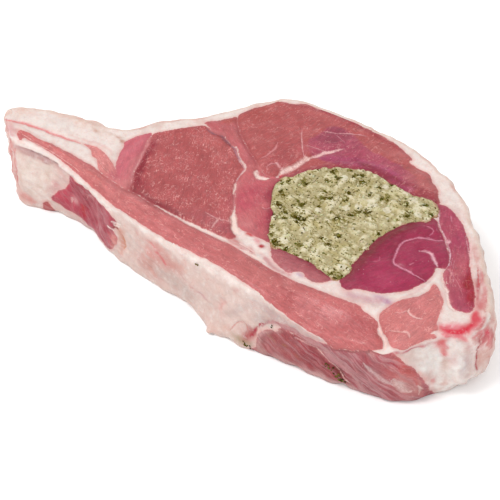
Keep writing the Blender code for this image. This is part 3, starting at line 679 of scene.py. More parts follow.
fatStrokes = [
    ([(-103.4, -2.4), (-98, -0.8), (-90, 0.2), (-80, 1.4), (-73, 2.6)], 0.8, (236, 176, 172), 0.65),
    ([(-80, 4.2), (-74, 4.6), (-69, 5.8), (-64, 5.6), (-60, 3.4)], 0.6, (236, 182, 176), 0.55),
    ([(-105, -2.6), (-102.6, -5.2), (-99, -8)], 0.7, (214, 120, 117), 0.8),
    ([(-101, -4.6), (-98.6, -7), (-96, -9)], 1.1, (224, 176, 178), 0.8),
    ([(-106.4, 3.4), (-103, 6.4), (-95, 9.8), (-84, 12.6), (-72, 14.4)], 1.0, (222, 190, 176), 0.75),
    ([(-100, 2.6), (-88, 4.6), (-76, 6.4), (-66, 8.6)], 1.6, (247, 233, 226), 0.5),
    ([(80.6, 15.4), (83.2, 10.4), (85.2, 5)], 0.7, (196, 84, 92), 0.8),
    ([(69.6, 32), (73, 26), (76, 20.6), (79.2, 16)], 0.4, (246, 218, 212), 0.85),
    ([(72, 30), (75.4, 25), (79, 19.6)], 0.7, (224, 166, 160), 0.7),
    ([(-10.4, 67.4), (-6.4, 67.9), (-1.8, 67.4), (3, 66.4), (8, 65.6)], 0.8, (228, 128, 132), 0.75),
    ([(78.6, 21.4), (82.4, 15.6), (85.6, 10.4), (88, 5.4)], 0.6, (222, 150, 148), 0.8),
    ([(79.4, 21), (82, 17.6), (84.7, 14.4)], 0.35, (160, 66, 68), 0.9),
    ([(85, 13.4), (87.4, 8.6), (89.4, 3.4)], 0.45, (190, 96, 92), 0.75),
    ([(83, 18.4), (87, 11.4), (90, 4)], 0.6, (240, 214, 202), 0.7),
    ([(78.6, -9), (82, -7.8), (85, -6)], 1.4, (240, 140, 150), 0.7),
    ([(81, -12), (84.6, -12), (88, -10)], 1.5, (238, 120, 132), 0.8),
    ([(78.6, -9.6), (80.5, -9.9), (83.4, -9.8), (86.4, -8.2), (87.2, -5.4), (87.5, -2), (86.4, 1.6),
      (86, 3)], 1.3, (222, 44, 72), 1),
    ([(85.8, 3.6), (87, 0.6), (88, -2)], 0.8, (226, 92, 104), 0.75),
    ([(89.4, 2.6), (90.4, -1.6), (90, -5)], 0.7, (200, 76, 84), 0.75),
    ([(81, -13), (82.2, -15), (84, -13.6)], 1.1, (240, 190, 188), 0.5),
    ([(66.6, 10), (66, 5), (64.6, 0), (62, -5)], 0.6, (232, 180, 178), 0.6),
    ([(69.4, 13), (72, 8.6), (75, 5)], 0.7, (246, 222, 214), 0.8),
    ([(-2, -9.6), (1.6, -10.4), (5.4, -11.4), (9, -12.6)], 1.0, (212, 126, 126), 0.85),
    ([(-3.4, -10.4), (1, -12), (6, -12.6)], 0.7, (206, 116, 117), 0.8),
    ([(12.6, -12.4), (15, -13.4), (18, -14.4), (22, -15.2), (26, -15.4)], 0.9, (208, 146, 152), 0.85),
    ([(1.4, -6.6), (4, -7.8), (8, -9.4), (12, -11)], 0.5, (246, 226, 218), 0.7),
    ([(1.4, -5.6), (3, -5.2), (4.6, -5.4)], 0.5, (206, 40, 58), 0.95),
    ([(44, -12.4), (51, -11.4), (58, -9.4)], 1.3, (214, 172, 178), 0.7),
    ([(10, -11), (18, -14.4), (24, -15.2)], 0.8, (222, 168, 166), 0.6),
    ([(-2, 24.6), (-0.6, 31), (1, 37.4)], 0.5, (226, 96, 106), 0.7),
]

# the torn front wall, unrolled: x along the cut edge, height out of 28 at the cut edge
wallMuscles = {
    "flank": {
        "outline": [
            (-70, 24.4), (-66, 24.2), (-58, 24), (-51, 24.8), (-47.6, 24.4), (-46, 22.4), (-44.4, 20.2),
            (-45.2, 17.5), (-46.4, 15), (-45, 12.5), (-45, 9), (-47, 6), (-49.5, 3), (-54, 1.4), (-62, 1.8),
            (-70, 3.4), (-75, 4.6), (-78.5, 6), (-80, 8.5), (-77.5, 11.5), (-75, 14), (-72.8, 17),
            (-71, 21)],
        "tone": (181, 78, 92), "angle": -60, "marbling": 0.2, "sinew": 0.2},
    "tailScrap": {
        "outline": [
            (-84.6, 0), (-84, 3.4), (-82.4, 5.4), (-81, 4.2), (-80, 2), (-80.4, 0), (-82, -2)],
        "tone": (190, 100, 100), "angle": 0, "marbling": 0.3},
    "lower": {
        "outline": [
            (18, -3), (19.4, 2.5), (20, 6.5), (21, 10), (24, 13.5), (27.5, 16), (30, 19.2), (34, 20.4),
            (39, 20.2), (44, 18.2), (49, 13.2), (52.3, 8), (54.6, 3), (57, -3)],
        "tone": (167, 84, 87), "angle": -35, "marbling": 0.2, "sinew": 0.3},
    "striated": {
        "outline": [
            (27, 20.3), (33, 22.5), (40, 23), (46, 23.5), (52, 22.6), (56, 25), (59, 28), (62, 30),
            (67, 30), (69.6, 27), (71.8, 23), (74.4, 18), (76.6, 13.5), (78, 9), (78.8, 4), (79, -3),
            (57.4, -3), (55, 3), (52.7, 8), (49.4, 13.4), (44.3, 18.6), (39, 20.6), (34, 20.8), (30, 19.6)],
        "tone": (175, 94, 101), "angle": -47, "marbling": 0.3, "sinew": 0.6},
}

wallSeams = [
    ([(22, 14), (25, 18), (30, 21), (36, 22.2), (43, 21.8), (48, 19.6), (52, 15.6), (56, 10), (59, 4),
      (61, -1)], 0.9, (186, 136, 136)),
    ([(35, 19.4), (41, 19.4), (47, 18.4)], 0.3, (204, 152, 150)),
    ([(60, 19.4), (63.4, 16), (66.6, 12.8), (69.4, 10)], 0.7, (205, 168, 166)),
    ([(52, 12), (57, 9), (62, 5.5), (66, 2.5)], 0.3, (195, 148, 150)),
    ([(64, 25), (67.5, 20), (71.5, 15.5), (75, 10), (76.5, 4)], 0.3, (195, 134, 134)),
    ([(47, 21), (53, 16.5), (59, 11), (63, 7)], 0.22, (192, 142, 144)),
    ([(69.8, 13.4), (70.8, 10.6), (72.4, 8), (74, 6.4)], 1.3, (215, 180, 175)),
    ([(62, 27), (61.4, 24.6), (62, 22.4)], 0.22, (200, 140, 140)),
    ([(65.8, 27.8), (66.4, 26), (68, 23.4)], 0.2, (206, 150, 150)),
    ([(76.2, 9), (76.8, 6.6), (76.4, 4.4)], 0.45, (222, 188, 180)),
    ([(21.6, 15.2), (20.6, 12.4)], 0.35, (170, 52, 72)),
    ([(19.8, 12.2), (18.6, 9), (17.4, 6.6)], 0.55, (168, 48, 68)),
    ([(-58.5, 22.6), (-61.5, 20), (-63, 17)], 0.15, (206, 130, 134)),
    ([(-56, 21), (-59, 20.8), (-62, 20)], 0.2, (214, 146, 148)),
    ([(-57, 13), (-58.4, 9.4), (-58, 6), (-59, 3)], 0.18, (210, 138, 142)),
    ([(-46.8, 16.8), (-45, 17.8), (-43.4, 17.2)], 0.3, (144, 62, 56)),
    ([(-42.5, 17), (-41.2, 14.4), (-41, 12), (-42, 8)], 0.4, (204, 140, 112)),
    ([(-48.6, 16.8), (-47, 16.2), (-46.4, 14.6)], 0.45, (242, 224, 216)),
    ([(-46.2, 20), (-44.4, 19.4), (-42.8, 19.8)], 0.5, (244, 228, 220)),
    ([(-45.6, 18.6), (-44, 18.2), (-43, 18.6)], 0.35, (240, 220, 210)),
    ([(14, 12), (16, 9), (15.6, 6)], 0.2, (206, 140, 134)),
    ([(9, 5), (12, 9.4), (14.4, 11)], 0.2, (214, 160, 152)),
    ([(91.2, 17.4), (91.6, 14.6), (91.2, 11.6), (91.5, 8.6)], 0.45, (176, 60, 72)),
    ([(90.6, 24), (91.2, 20.6), (90.8, 17.6)], 0.2, (168, 80, 80)),
    ([(98, 26), (99.6, 21), (98.6, 16), (100, 10)], 0.2, (196, 112, 108)),
    ([(-72, 8.8), (-71.8, 10.4), (-71.4, 11.8)], 0.5, (226, 172, 168)),
    ([(-95.4, 24), (-95.8, 20), (-95, 16), (-95.8, 12), (-95.4, 8)], 0.3, (206, 124, 120)),
    ([(-99, 25), (-98.6, 19), (-98.9, 13)], 0.25, (204, 112, 108)),
]

wallLeanPatches = [
    (-73, 13, 3.4, 8, (200, 82, 98), 0.8), (-66, 9, 1.5, 3, (182, 32, 56), 0.9),
    (-70, 20, 4, 4, (180, 74, 90), 0.7), (-60, 20, 9, 4, (160, 58, 70), 0.55),
    (-50, 10, 3, 5, (186, 92, 102), 0.5), (-45.4, 7, 2.2, 5, (222, 150, 140), 0.85),
    (-62, 20, 1.4, 0.9, (206, 128, 132), 0.5), (-56, 10, 5, 6, (176, 74, 86), 0.5),
    (42, 13, 6, 4, (150, 60, 68), 0.75), (43, 14, 1.6, 1.8, (168, 40, 60), 0.7),
    (52, 9, 1.8, 2.6, (110, 46, 42), 0.85), (28, 8, 4, 4, (172, 100, 102), 0.5),
    (40, 6.6, 5, 2, (156, 72, 76), 0.5), (22, 2.4, 2, 2.2, (205, 160, 154), 0.7),
    (22, 10, 2.4, 4.6, (160, 90, 90), 0.75), (46, 1, 15, 2, (212, 176, 172), 0.8),
    (46, 17.6, 3, 2.4, (188, 130, 130), 0.6), (56, 17, 6, 4, (160, 80, 86), 0.75),
    (58, 7.4, 4, 4, (158, 76, 82), 0.75), (64, 17.6, 3, 3, (158, 70, 78), 0.8),
    (58, 22.4, 4, 2.6, (172, 84, 92), 0.7), (38, 2, 12, 1.8, (198, 146, 144), 0.7),
    (34, 16, 5, 3, (166, 80, 84), 0.6), (31, 11, 1, 0.7, (176, 116, 84), 0.6),
    (36, 8, 1, 0.7, (172, 110, 80), 0.6), (26, 11, 0.9, 0.7, (180, 122, 94), 0.5),
    (62, 25.4, 3, 2, (206, 146, 144), 0.7), (64, 15, 6, 7, (176, 110, 113), 0.6),
    (72, 17, 4, 10, (200, 104, 102), 0.85), (75.4, 8, 2.6, 5, (206, 142, 136), 0.8),
    (58, 21.6, 4, 2.4, (180, 92, 100), 0.7), (-57, 22, 6, 1.6, (206, 124, 130), 0.6),
    (-55, 12, 2, 3, (208, 134, 140), 0.6), (-70, 11.4, 1.2, 2, (222, 156, 158), 0.7),
    (-60, 3, 6, 2, (208, 140, 146), 0.5),
    (71.5, 10.4, 1.3, 3.2, (215, 178, 174), 0.75), (62, 6, 6, 4, (170, 98, 102), 0.5),
    (52, 18, 5, 3, (173, 108, 112), 0.6), (45, 22.4, 10, 1.2, (176, 110, 115), 0.7),
]

wallFatPatches = [
    (82.5, 13, 8, 16, (255, 250, 245), 1), (104, 18, 9, 14, (228, 186, 176), 0.7),
    # (-84, 25.6) is the grey-mauve band in the groove under the strip at the tail: the membrane's tone,
    # deepened by painted shade
    (-84, 25.6, 10, 1.5, (205, 162, 162), 0.9), (-98.4, 19, 2.2, 9, (221, 154, 149), 0.7),
    (-86, 16, 8, 8.5, (240, 222, 212), 0.85), (-90, 18, 1.6, 1.4, (214, 188, 170), 0.6),
    (-84, 12, 1.8, 1.3, (212, 184, 166), 0.6), (-81, 19, 1.4, 1.8, (216, 190, 174), 0.5),
    (-88, 9.4, 2, 1.2, (214, 182, 166), 0.55), (-92.4, 13, 1, 3, (216, 184, 172), 0.5),
    (-89.5, 4, 3, 1.6, (224, 156, 148), 0.6), (-86, 2, 1.6, 1.2, (250, 238, 230), 0.8),
    (-81.6, 6.4, 2, 0.8, (246, 230, 222), 0.8), (-93, 3, 4, 2, (222, 158, 150), 0.6),
    (-101, 14, 4, 14, (228, 170, 163), 0.7), (-42, 14, 1.4, 4.5, (212, 158, 142), 0.7),
    (-77, 14, 2.2, 4, (228, 170, 168), 0.6), (-74, 22, 2, 3, (228, 180, 176), 0.5),
    (-45.6, 18.4, 2.2, 2, (240, 222, 212), 0.8), (-55, 26.4, 12, 1.4, (246, 232, 226), 0.85),
    (-25, 21.2, 2, 1, (222, 140, 138), 0.7), (-24, 13, 9, 7, (214, 162, 153), 0.75),
    (-27, 17, 3, 3, (222, 150, 144), 0.5), (-15, 17.4, 3, 2, (216, 160, 150), 0.6),
    (-49, 26, 1.8, 1.6, (222, 180, 174), 0.7), (-8, 25.8, 12, 1.2, (234, 208, 199), 0.6),
    (16.6, 7, 2.2, 2.8, (192, 112, 110), 0.95), (-22, 26.4, 22, 1.8, (228, 188, 179), 0.9),
    (-26, 22, 4, 2, (216, 150, 142), 0.6), (-29, 9.6, 6, 5, (208, 146, 136), 0.55),
    (-20, 17, 4, 2.6, (212, 142, 134), 0.55), (-99, 25, 3, 3, (218, 136, 132), 0.7),
    (76, 26.6, 3.4, 1.5, (206, 136, 140), 0.85), (77.6, 12, 1.4, 2.6, (214, 158, 148), 0.7),
    (81.8, 13, 1.4, 2, (222, 180, 172), 0.7), (-65, 1.4, 6, 1.6, (216, 170, 170), 0.6),
    # (-14, 9) is the wall's grey patch, darkened further by painted shade
    (-33.5, 23, 1, 1.2, (216, 156, 150), 0.5), (-14, 9, 9, 4.2, (212, 188, 180), 0.75),
    (-36, 15, 4, 4, (226, 204, 196), 0.5), (-4, 11.2, 1.8, 0.45, (190, 110, 125), 0.9),
    (-19, 7.2, 0.6, 0.6, (190, 146, 140), 0.6), (4.5, 12, 1.4, 3, (230, 180, 172), 0.5),
    (10, 14, 4, 3.4, (236, 214, 206), 0.6), (16, 8, 2.4, 3, (232, 204, 196), 0.7),
    (18, 23.4, 4.6, 3.4, (226, 206, 199), 0.8), (28, 22.6, 7, 2.4, (203, 180, 175), 0.85),
    (21, 17, 2.6, 2.4, (212, 190, 184), 0.7), (40, 25, 9, 2, (206, 174, 170), 0.7),
    (15, 2.8, 3.4, 1.4, (158, 140, 96), 0.55), (81.4, 25.4, 1.5, 2, (222, 112, 114), 0.9),
    (82, 21.6, 1.2, 2.2, (226, 130, 130), 0.85), (81.6, 17, 1.5, 1.8, (212, 170, 158), 0.8),
    (84.4, 17.4, 1.6, 2.6, (236, 190, 186), 0.65), (82.6, 14, 2, 3, (234, 206, 194), 0.65),
    (85.6, 9, 2, 3, (242, 220, 212), 0.6), (80, 10, 0.9, 1, (220, 108, 106), 0.9),
    # (88.2, 16) is painted shade, bluish grey where the white face at the right end turns away
    (82, 7, 1.5, 2, (220, 172, 160), 0.7), (88.2, 16, 0.8, 4, (206, 188, 190), 0.8),
    (88, 27, 4, 1.6, (228, 70, 90), 0.85), (92.6, 23, 3, 4.6, (214, 92, 100), 0.9),
    (95.6, 19, 2.6, 4, (222, 108, 114), 0.85), (90.4, 24, 1.3, 3, (214, 130, 126), 0.8),
    (94, 13, 2.6, 4, (232, 184, 174), 0.8), (99, 22, 2.4, 4, (226, 150, 144), 0.7),
    (80, 2.6, 3, 2, (226, 180, 168), 0.5), (74, 25.6, 1.3, 0.5, (182, 56, 86), 0.9),
    (70, 26.6, 2.6, 1, (228, 190, 186), 0.7), (71.2, 26.3, 0.6, 0.8, (178, 54, 84), 0.9),
    (74.6, 22, 1, 2.4, (230, 204, 196), 0.8),
]

wallLeanStrokes = [
    ([(50, 22), (56, 16.6), (62, 10), (67, 4)], 0.6, (194, 140, 140), 0.5),
    ([(54, 22), (60, 15.6), (66, 9.4), (70, 3)], 0.45, (158, 74, 82), 0.5),
    ([(60, 24), (65, 18.6), (70, 12.4), (75, 5)], 0.5, (160, 68, 76), 0.6),
    ([(65.4, 27), (68.6, 22.4), (72, 18.6)], 0.7, (165, 58, 74), 0.75),
    ([(70.6, 27), (74.6, 20), (77.2, 12.6), (78.4, 4)], 0.6, (165, 50, 75), 0.8),
    ([(69.8, 26), (72.6, 20), (74.6, 13), (76, 7)], 0.9, (198, 96, 94), 0.6),
    ([(30, 21.4), (38, 22.2), (46, 20.6), (52, 15.6)], 0.8, (186, 130, 132), 0.7),
    ([(30, 17.6), (37, 18.4), (43, 16.6), (48, 12.4)], 1.0, (156, 66, 74), 0.6),
    ([(20.2, 1), (20.8, 7), (22.2, 11), (26, 14.6), (30, 18.4)], 0.8, (205, 156, 152), 0.75),
    ([(24, 4), (28, 6.6), (33, 8), (38, 7.6)], 0.9, (178, 104, 104), 0.5),
    ([(26, 2.4), (36, 2), (46, 2.4)], 1.0, (204, 156, 152), 0.6),
    ([(-74, 20), (-77, 14), (-78, 8)], 0.9, (210, 92, 106), 0.85),
    ([(-69, 24), (-64, 18), (-63, 10), (-64.4, 3)], 1.4, (166, 60, 74), 0.5),
    ([(-54, 22), (-52, 16), (-50, 9)], 1.2, (160, 62, 74), 0.5),
    ([(-70, 23), (-62, 22.6), (-56, 23), (-51, 22.4)], 1.8, (168, 64, 78), 0.6),
    ([(-76, 9), (-74, 15), (-71, 20)], 1.1, (205, 85, 100), 0.75),
    ([(-66.4, 12), (-65.8, 9), (-66.4, 5.6)], 1.1, (185, 30, 55), 0.85),
    ([(-54.6, 16), (-53, 10), (-51.4, 5)], 1.1, (166, 66, 80), 0.6),
    ([(-63, 12), (-61.4, 7), (-60.4, 3)], 1.0, (180, 82, 96), 0.5),
    ([(-47.2, 12), (-46.4, 8), (-48.6, 3.6)], 1.0, (222, 148, 140), 0.75),
    ([(-73.6, 22), (-71, 23.4), (-68, 22.4)], 0.5, (206, 96, 110), 0.5),
    ([(36, 12), (40, 9), (44, 8)], 1.2, (152, 62, 70), 0.5),
    ([(44, 16), (48, 12), (51, 8), (53, 4)], 0.7, (140, 60, 62), 0.65),
    ([(50, 14), (52, 10.6), (53.6, 7)], 0.6, (112, 48, 44), 0.7),
]

wallFatStrokes = [
    ([(-70, 26.4), (-60, 26.4), (-40, 26), (-20, 25.6), (0, 25.2), (12, 25.6), (20, 26)],
      1.9, (250, 236, 229), 0.9),
    # the next two strokes: the grey-mauve band in the groove under the strip at the tail, the membrane's tone
    # deepened by painted shade, then painted shadow along the top of the cream wall below it
    ([(-95, 25.2), (-88, 25.7), (-82, 25.7), (-74, 25.4)], 1.3, (204, 160, 160), 0.9),
    ([(-94, 24), (-86, 23.9), (-77, 23.6)], 0.5, (188, 138, 136), 0.6),
    ([(-94, 27.7), (-84, 27.8), (-75, 27.6)], 0.6, (234, 204, 199), 0.8),
    ([(-95.6, 24), (-95.2, 18), (-95.9, 12), (-95.4, 7)], 0.6, (222, 142, 138), 0.7),
    ([(-104, 27), (-102, 21), (-101.4, 14)], 0.5, (210, 118, 114), 0.7),
    ([(-100.4, 25.4), (-98.8, 19), (-99.2, 11)], 0.6, (206, 110, 108), 0.7),
    ([(-97.4, 22), (-97, 15), (-97.6, 9)], 0.4, (212, 130, 126), 0.6),
    ([(-90, 12), (-87, 9), (-84.6, 6)], 1.2, (244, 228, 218), 0.7),
    ([(-97, 3.6), (-93, 5), (-89, 4)], 1.2, (222, 150, 144), 0.6),
    ([(-43.6, 19), (-41.8, 14), (-43, 8), (-45, 3)], 1.3, (220, 156, 140), 0.7),
    ([(-92, 22), (-88, 15), (-83, 10)], 1.6, (246, 230, 222), 0.5),
    ([(-27.6, 21.9), (-25.8, 21.2), (-24, 20.4)], 0.45, (226, 140, 138), 0.8),
    ([(-24.6, 19.2), (-22.4, 17.4), (-20, 15.4)], 0.5, (214, 96, 100), 0.85),
    ([(-30, 19), (-26, 16.4), (-24, 15.8)], 0.6, (228, 170, 164), 0.5),
    ([(-35, 20), (-31.6, 15), (-30.4, 10), (-31.5, 5)], 0.8, (224, 176, 168), 0.5),
    # the wall's grey band, darkened further by painted shade
    ([(-26, 10.4), (-16, 9), (-8, 8)], 2.6, (208, 186, 178), 0.7),
    ([(-40, 18), (-34, 16), (-28, 13)], 1.2, (214, 194, 186), 0.4),
    ([(-20, 14.6), (-12, 13.6), (-6, 11.6), (-2, 11)], 0.4, (218, 172, 166), 0.5),
    ([(6, 9), (12, 15), (18, 20.6), (26, 23)], 1.4, (214, 192, 186), 0.7),
    ([(22, 23), (29, 22.6), (36, 24), (46, 23.4)], 1.5, (204, 176, 172), 0.8),
    ([(34, 26.6), (44, 25.4), (52, 24)], 0.7, (212, 176, 172), 0.7),
    ([(3, 9.4), (5, 12.6), (7, 16)], 0.5, (226, 160, 154), 0.6),
    ([(9.6, 20.6), (12, 23.6)], 0.6, (228, 168, 162), 0.6),
    ([(14, 4), (18, 6.6), (20, 12)], 0.6, (224, 164, 156), 0.5),
    ([(-6, 3), (2, 2.6), (10, 5)], 1.4, (232, 194, 182), 0.5),
    ([(79, 20), (80.6, 13), (81, 6)], 1.6, (250, 240, 234), 0.7),
    # painted shade: grey down the right of the white face, where it turns away round the end
    ([(88.2, 23), (88.8, 14), (88.4, 8)], 0.8, (218, 190, 184), 0.6),
    ([(88.4, 27), (89.4, 23), (90.4, 19), (90.6, 16)], 0.6, (246, 226, 220), 0.85),
    ([(91.6, 26), (92.8, 23), (92, 20.4)], 0.7, (200, 58, 74), 0.85),
    ([(94, 24.4), (95.2, 21.4), (94.2, 18.6)], 0.7, (228, 66, 88), 0.85),
    ([(96.6, 24), (97.2, 19), (96.2, 14)], 0.5, (190, 86, 84), 0.75),
    ([(93.4, 20), (93.2, 17), (94.8, 15)], 0.6, (246, 220, 212), 0.85),
    ([(96, 26), (97.6, 22.4), (98, 19.4)], 0.5, (244, 214, 206), 0.8),
    ([(95, 12), (96.4, 9), (95.6, 5)], 0.5, (214, 134, 126), 0.6),
    ([(19, 10.6), (17.2, 7.6), (15.4, 4.6)], 1.6, (184, 100, 100), 0.9),
    ([(92, 26), (90.6, 27.6), (88.6, 28)], 0.8, (224, 60, 84), 0.85),
    ([(23, 12), (21.6, 8), (21, 3)], 0.8, (212, 162, 156), 0.7),
    ([(22, 16), (25, 18.6), (28.6, 20.6)], 0.9, (206, 170, 164), 0.7),
    ([(89.6, 26.8), (86, 27.4), (82, 27.8)], 0.6, (230, 70, 88), 0.85),
    ([(80.4, 26.6), (81.6, 24), (83, 22)], 0.6, (228, 118, 122), 0.6),
]

# foot of the wall drawn in: x, reach along, height, depth
undercuts = [
    (-81, 5, 3.5, 1.2), (-12, 6, 4.5, 1.6), (8.5, 2.5, 2.0, 1.0), (36, 5, 3.0, 0.8), (53.5, 1.6, 3.5, 1.4),
    (87, 3, 6, 1.2),
]

# torn flaps and tufts of the front, beyond the broad lumps: x, y, z, reach along, reach up, depth
flaps = [
    (-95.5, -10.5, 1.5, 5, 2.5, 0.9), (1.8, -28, 1, 1.8, 1.6, 2.2), (-52, -14, 6, 8, 9, 0.7),
    (-22, -21.5, 3, 5, 6, 0.6), (22, -29, 4, 9, 5, 0.9), (84, -11.5, 3, 4, 4, 0.7), (90.5, 1, 4, 5, 4, 1.4),
    (91, -2, 16, 6, 6, -0.6), (-47.5, -17, 18, 2.0, 2.5, 1.1), (-90, -10.5, 17, 5, 7, 0.8),
    (-75, -10, 19, 3.5, 5, 0.9), (-80, -10, 26.6, 12, 1.5, -1.0),
]

# places where the torn edge is ragged: x, y, reach, roughness
ragged = [(-103, -4, 9, 0.8), (-60, -14, 12, 0.3), (88, -8, 9, 0.9), (78, -18, 6, 0.6), (4, -28, 7, 0.5)]

# broad fat seams pulled below the meat beside them
valleys = [
    [(-56, 21), (-59.5, 9), (-57.5, 0), (-50, -8)],
    [(-54.5, 21), (-53, 14), (-50, 5), (-46, -5), (-44, -9)],
    [(-44, 33), (-32, 33.5), (-25, 30.5), (-20.5, 25), (-16, 19), (-13, 10.5), (-7, 0), (0, -8)],
    [(-33, 46), (-31, 42), (-24, 35), (-15, 28), (-10, 23)],
    [(7.5, 47), (3, 43), (-0.5, 36), (-3.5, 26)],
    [(-1, 30), (4, 38), (10, 44.5), (20, 50), (33, 55.5), (42, 54.5), (49, 49), (53, 43)],
    [(62, 28), (55, 25), (51, 20), (50.5, 12), (53, 8), (65, 7)],
    [(2, -8), (12, -11.5), (25, -15), (42, -14), (55, -11), (63, -7), (67, 3)],
    [(59, -18), (63, -21), (69, -28)],
]

fatTones = {"cut": (245, 229, 222), "wall": (230, 204, 195), "back": (238, 213, 201),
            "streak": (222, 170, 160)}

# what each face is painted with: muscles, areas, patches and strokes of the lean, those of the fat, seams
cutPaint = (muscles, leanAreas, leanPatches, leanStrokes, fatPatches, fatStrokes, fatTones["cut"], seams)
wallPaint = (wallMuscles, [], wallLeanPatches, wallLeanStrokes, wallFatPatches, wallFatStrokes,
             fatTones["wall"], wallSeams)


def cutPlane(x):
    # level, but raised at the tail
    return steak["level"] + steak["tailLift"] * ease((steak["tailLiftFrom"] - x) / steak["tailLiftLength"])


def readAt(xy, z):
    # the cut face is drawn as it looks on that plane, so a place off it is looked up along the line of sight
    share = (eyePoint[2] - cutPlane(xy[:, 0])) / (eyePoint[2] - z)
    return eyePoint[:2] + (xy - eyePoint[:2]) * share[:, None]


def cutLevel(xy, outline, pocketRing):
    # the plane drawn down where the edge is lower, sunk at seams and at the pocket's lip
    height = cutPlane(xy[:, 0])
    away, _, along = nearestOnLine(xy, outline, closed=True)
    heights = np.append(outline[:, 2], outline[0, 2])
    edgeHeight = np.interp(along * len(outline), np.arange(len(heights)), heights)
    height = height + (edgeHeight - height) * (1 - ease(away / steak["shoulderReach"]))
    for shape, rise, slope in swellings:
        height += rise * ease(depthInside(xy, closedCurve(shape, 4)) / slope)
    for line in valleys:
        height -= steak["seamDepth"] * np.exp(-(nearestOnLine(xy, line)[0] / steak["seamSpread"]) ** 2)
    lip = nearestOnLine(xy, pocketRing, closed=True)[0]
    return height - steak["pocketSink"] * np.exp(-(lip / steak["pocketSinkReach"]) ** 2)


def edgeRadius(outline):
    # the rounded edge is tighter along the back
    return steak["edgeRadius"] * (1 - steak["tighterBack"] * ease((outline[:, 1] - 5) / 6))


def tintTo(colour, tone, cover):
    # moves colours towards a tone, all the way where cover is 1
    colour += (np.array(srgb(*tone)) - colour) * np.clip(cover, 0, 1)[:, None]


def paintPatches(colour, uv, patches):
    spot = uv + push(uv, 1.0, 4.0, 15) + push(uv, 0.45, 1.3, 17)
    patchy = 1 + 0.3 * cloud(uv, 2.2, 19, 2)
    for x, y, reachX, reachY, tone, strength in patches:
        cover = np.exp(-((spot[:, 0] - x) / reachX) ** 2 - ((spot[:, 1] - y) / reachY) ** 2)
        tintTo(colour, tone, strength * patchy * np.minimum(cover * 1.3, 1))


def paintStrokes(colour, uv, strokes):
    patchy = 1 + 0.35 * cloud(uv, 2.6, 20, 2)
    spot = uv + push(uv, 0.5, 2.4, 23)
    for line, reach, tone, strength in strokes:
        away, _, along = nearestOnLine(spot, openCurve(line, 3))
        ends = ease(np.minimum(along, 1 - along) / 0.15 + 0.3)
        tintTo(colour, tone, strength * patchy * ends * np.exp(-(away / reach) ** 2))


def paintAreas(colour, uv, areas):
    spot = uv + push(uv, 0.5, 2.8, 25, 2)
    for shape, soft, tone, strength in areas:
        tintTo(colour, tone, strength * ease(depthInside(spot, closedCurve(shape, 4)) / soft + 0.5))


def fibres(uv, parts, owner):
    # places turned so that the first axis lies along the fibres of the muscle that owns each
    turn = np.radians([part["angle"] for part in parts.values()])[owner]
    along = uv[:, 0] * np.cos(turn) + uv[:, 1] * np.sin(turn)
    across = uv[:, 1] * np.cos(turn) - uv[:, 0] * np.sin(turn)
    return np.column_stack([along, across, owner * 7.0])


def lookAt(uv, parts, areas, leanSpots, leanLines, fatSpots, fatLines, fatTone, seamLines):
    # what the meat's finish needs to know at each place of a flat or unrolled face
    spot = uv + push(uv, 0.3, 3.2, 11) + push(uv, 0.1, 0.9, 13)
    depths = np.stack([depthInside(spot, closedCurve(part["outline"], 3)) for part in parts.values()], 1)
    lean = depths.max(1)
    # muscles that meet blend over a narrow border
    share = np.exp(np.clip((depths - lean[:, None]) / 0.35, -30, 0))
    share /= share.sum(1)[:, None]
    tint = share @ np.array([srgb(*part["tone"]) for part in parts.values()])
    marbling = share @ np.array([part["marbling"] for part in parts.values()])
    sinew = share @ np.array([part.get("sinew", 0) for part in parts.values()])
    ranked = np.sort(depths, axis=1)
    paintAreas(tint, uv, areas)
    paintPatches(tint, uv, leanSpots)
    paintStrokes(tint, uv, leanLines)
    fat = np.tile(srgb(*fatTone), (len(uv), 1))
    paintPatches(fat, uv, fatSpots)
    paintStrokes(fat, uv, fatLines)

    seam = np.tile((0.0, 0.0, steak["farOff"]), (len(uv), 1))
    seamWidth = np.zeros(len(uv))
    seamTone = np.tile(srgb(235, 190, 185), (len(uv), 1))
    seamGap = np.full(len(uv), steak["farOff"])
    for line, width, tone in seamLines:
        away, offset, along = nearestOnLine(spot, openCurve(line, 4))
        taper = width * (0.35 + 0.65 * ease(np.minimum(along, 1 - along) / 0.2))
        closer = (away - taper < seamGap) & (away < taper + 1.6)
        seamGap[closer] = (away - taper)[closer]
        seam[closer] = np.column_stack([offset, np.zeros(len(uv))])[closer]
        seamWidth[closer] = taper[closer]
        seamTone[closer] = srgb(*tone)
    return {"leanTone": tint, "fatTone": fat, "seamTone": seamTone, "lean": lean, "seam": seam,
            "seamWidth": seamWidth, "grain": fibres(uv, parts, depths.argmax(1)),
            "hold": ease((ranked[:, -1] - ranked[:, -2] - 1.0) / 1.4),
            "marbling": marbling, "sinew": sinew, "seamGap": seamGap}


def skinRelief(points, look):
    # fine relief of the moist surface: rounded bundles, sunk seams and soft unevenness
    relief = 0.4 * ease(look["lean"] / 1.4) - 0.2
    relief -= 0.3 * np.exp(-(np.maximum(look["seamGap"], 0) / 0.45) ** 2)
    return relief + 0.16 * cloud(points, 4.5, 21, 2) + 0.07 * cloud(points, 1.5, 22, 2)


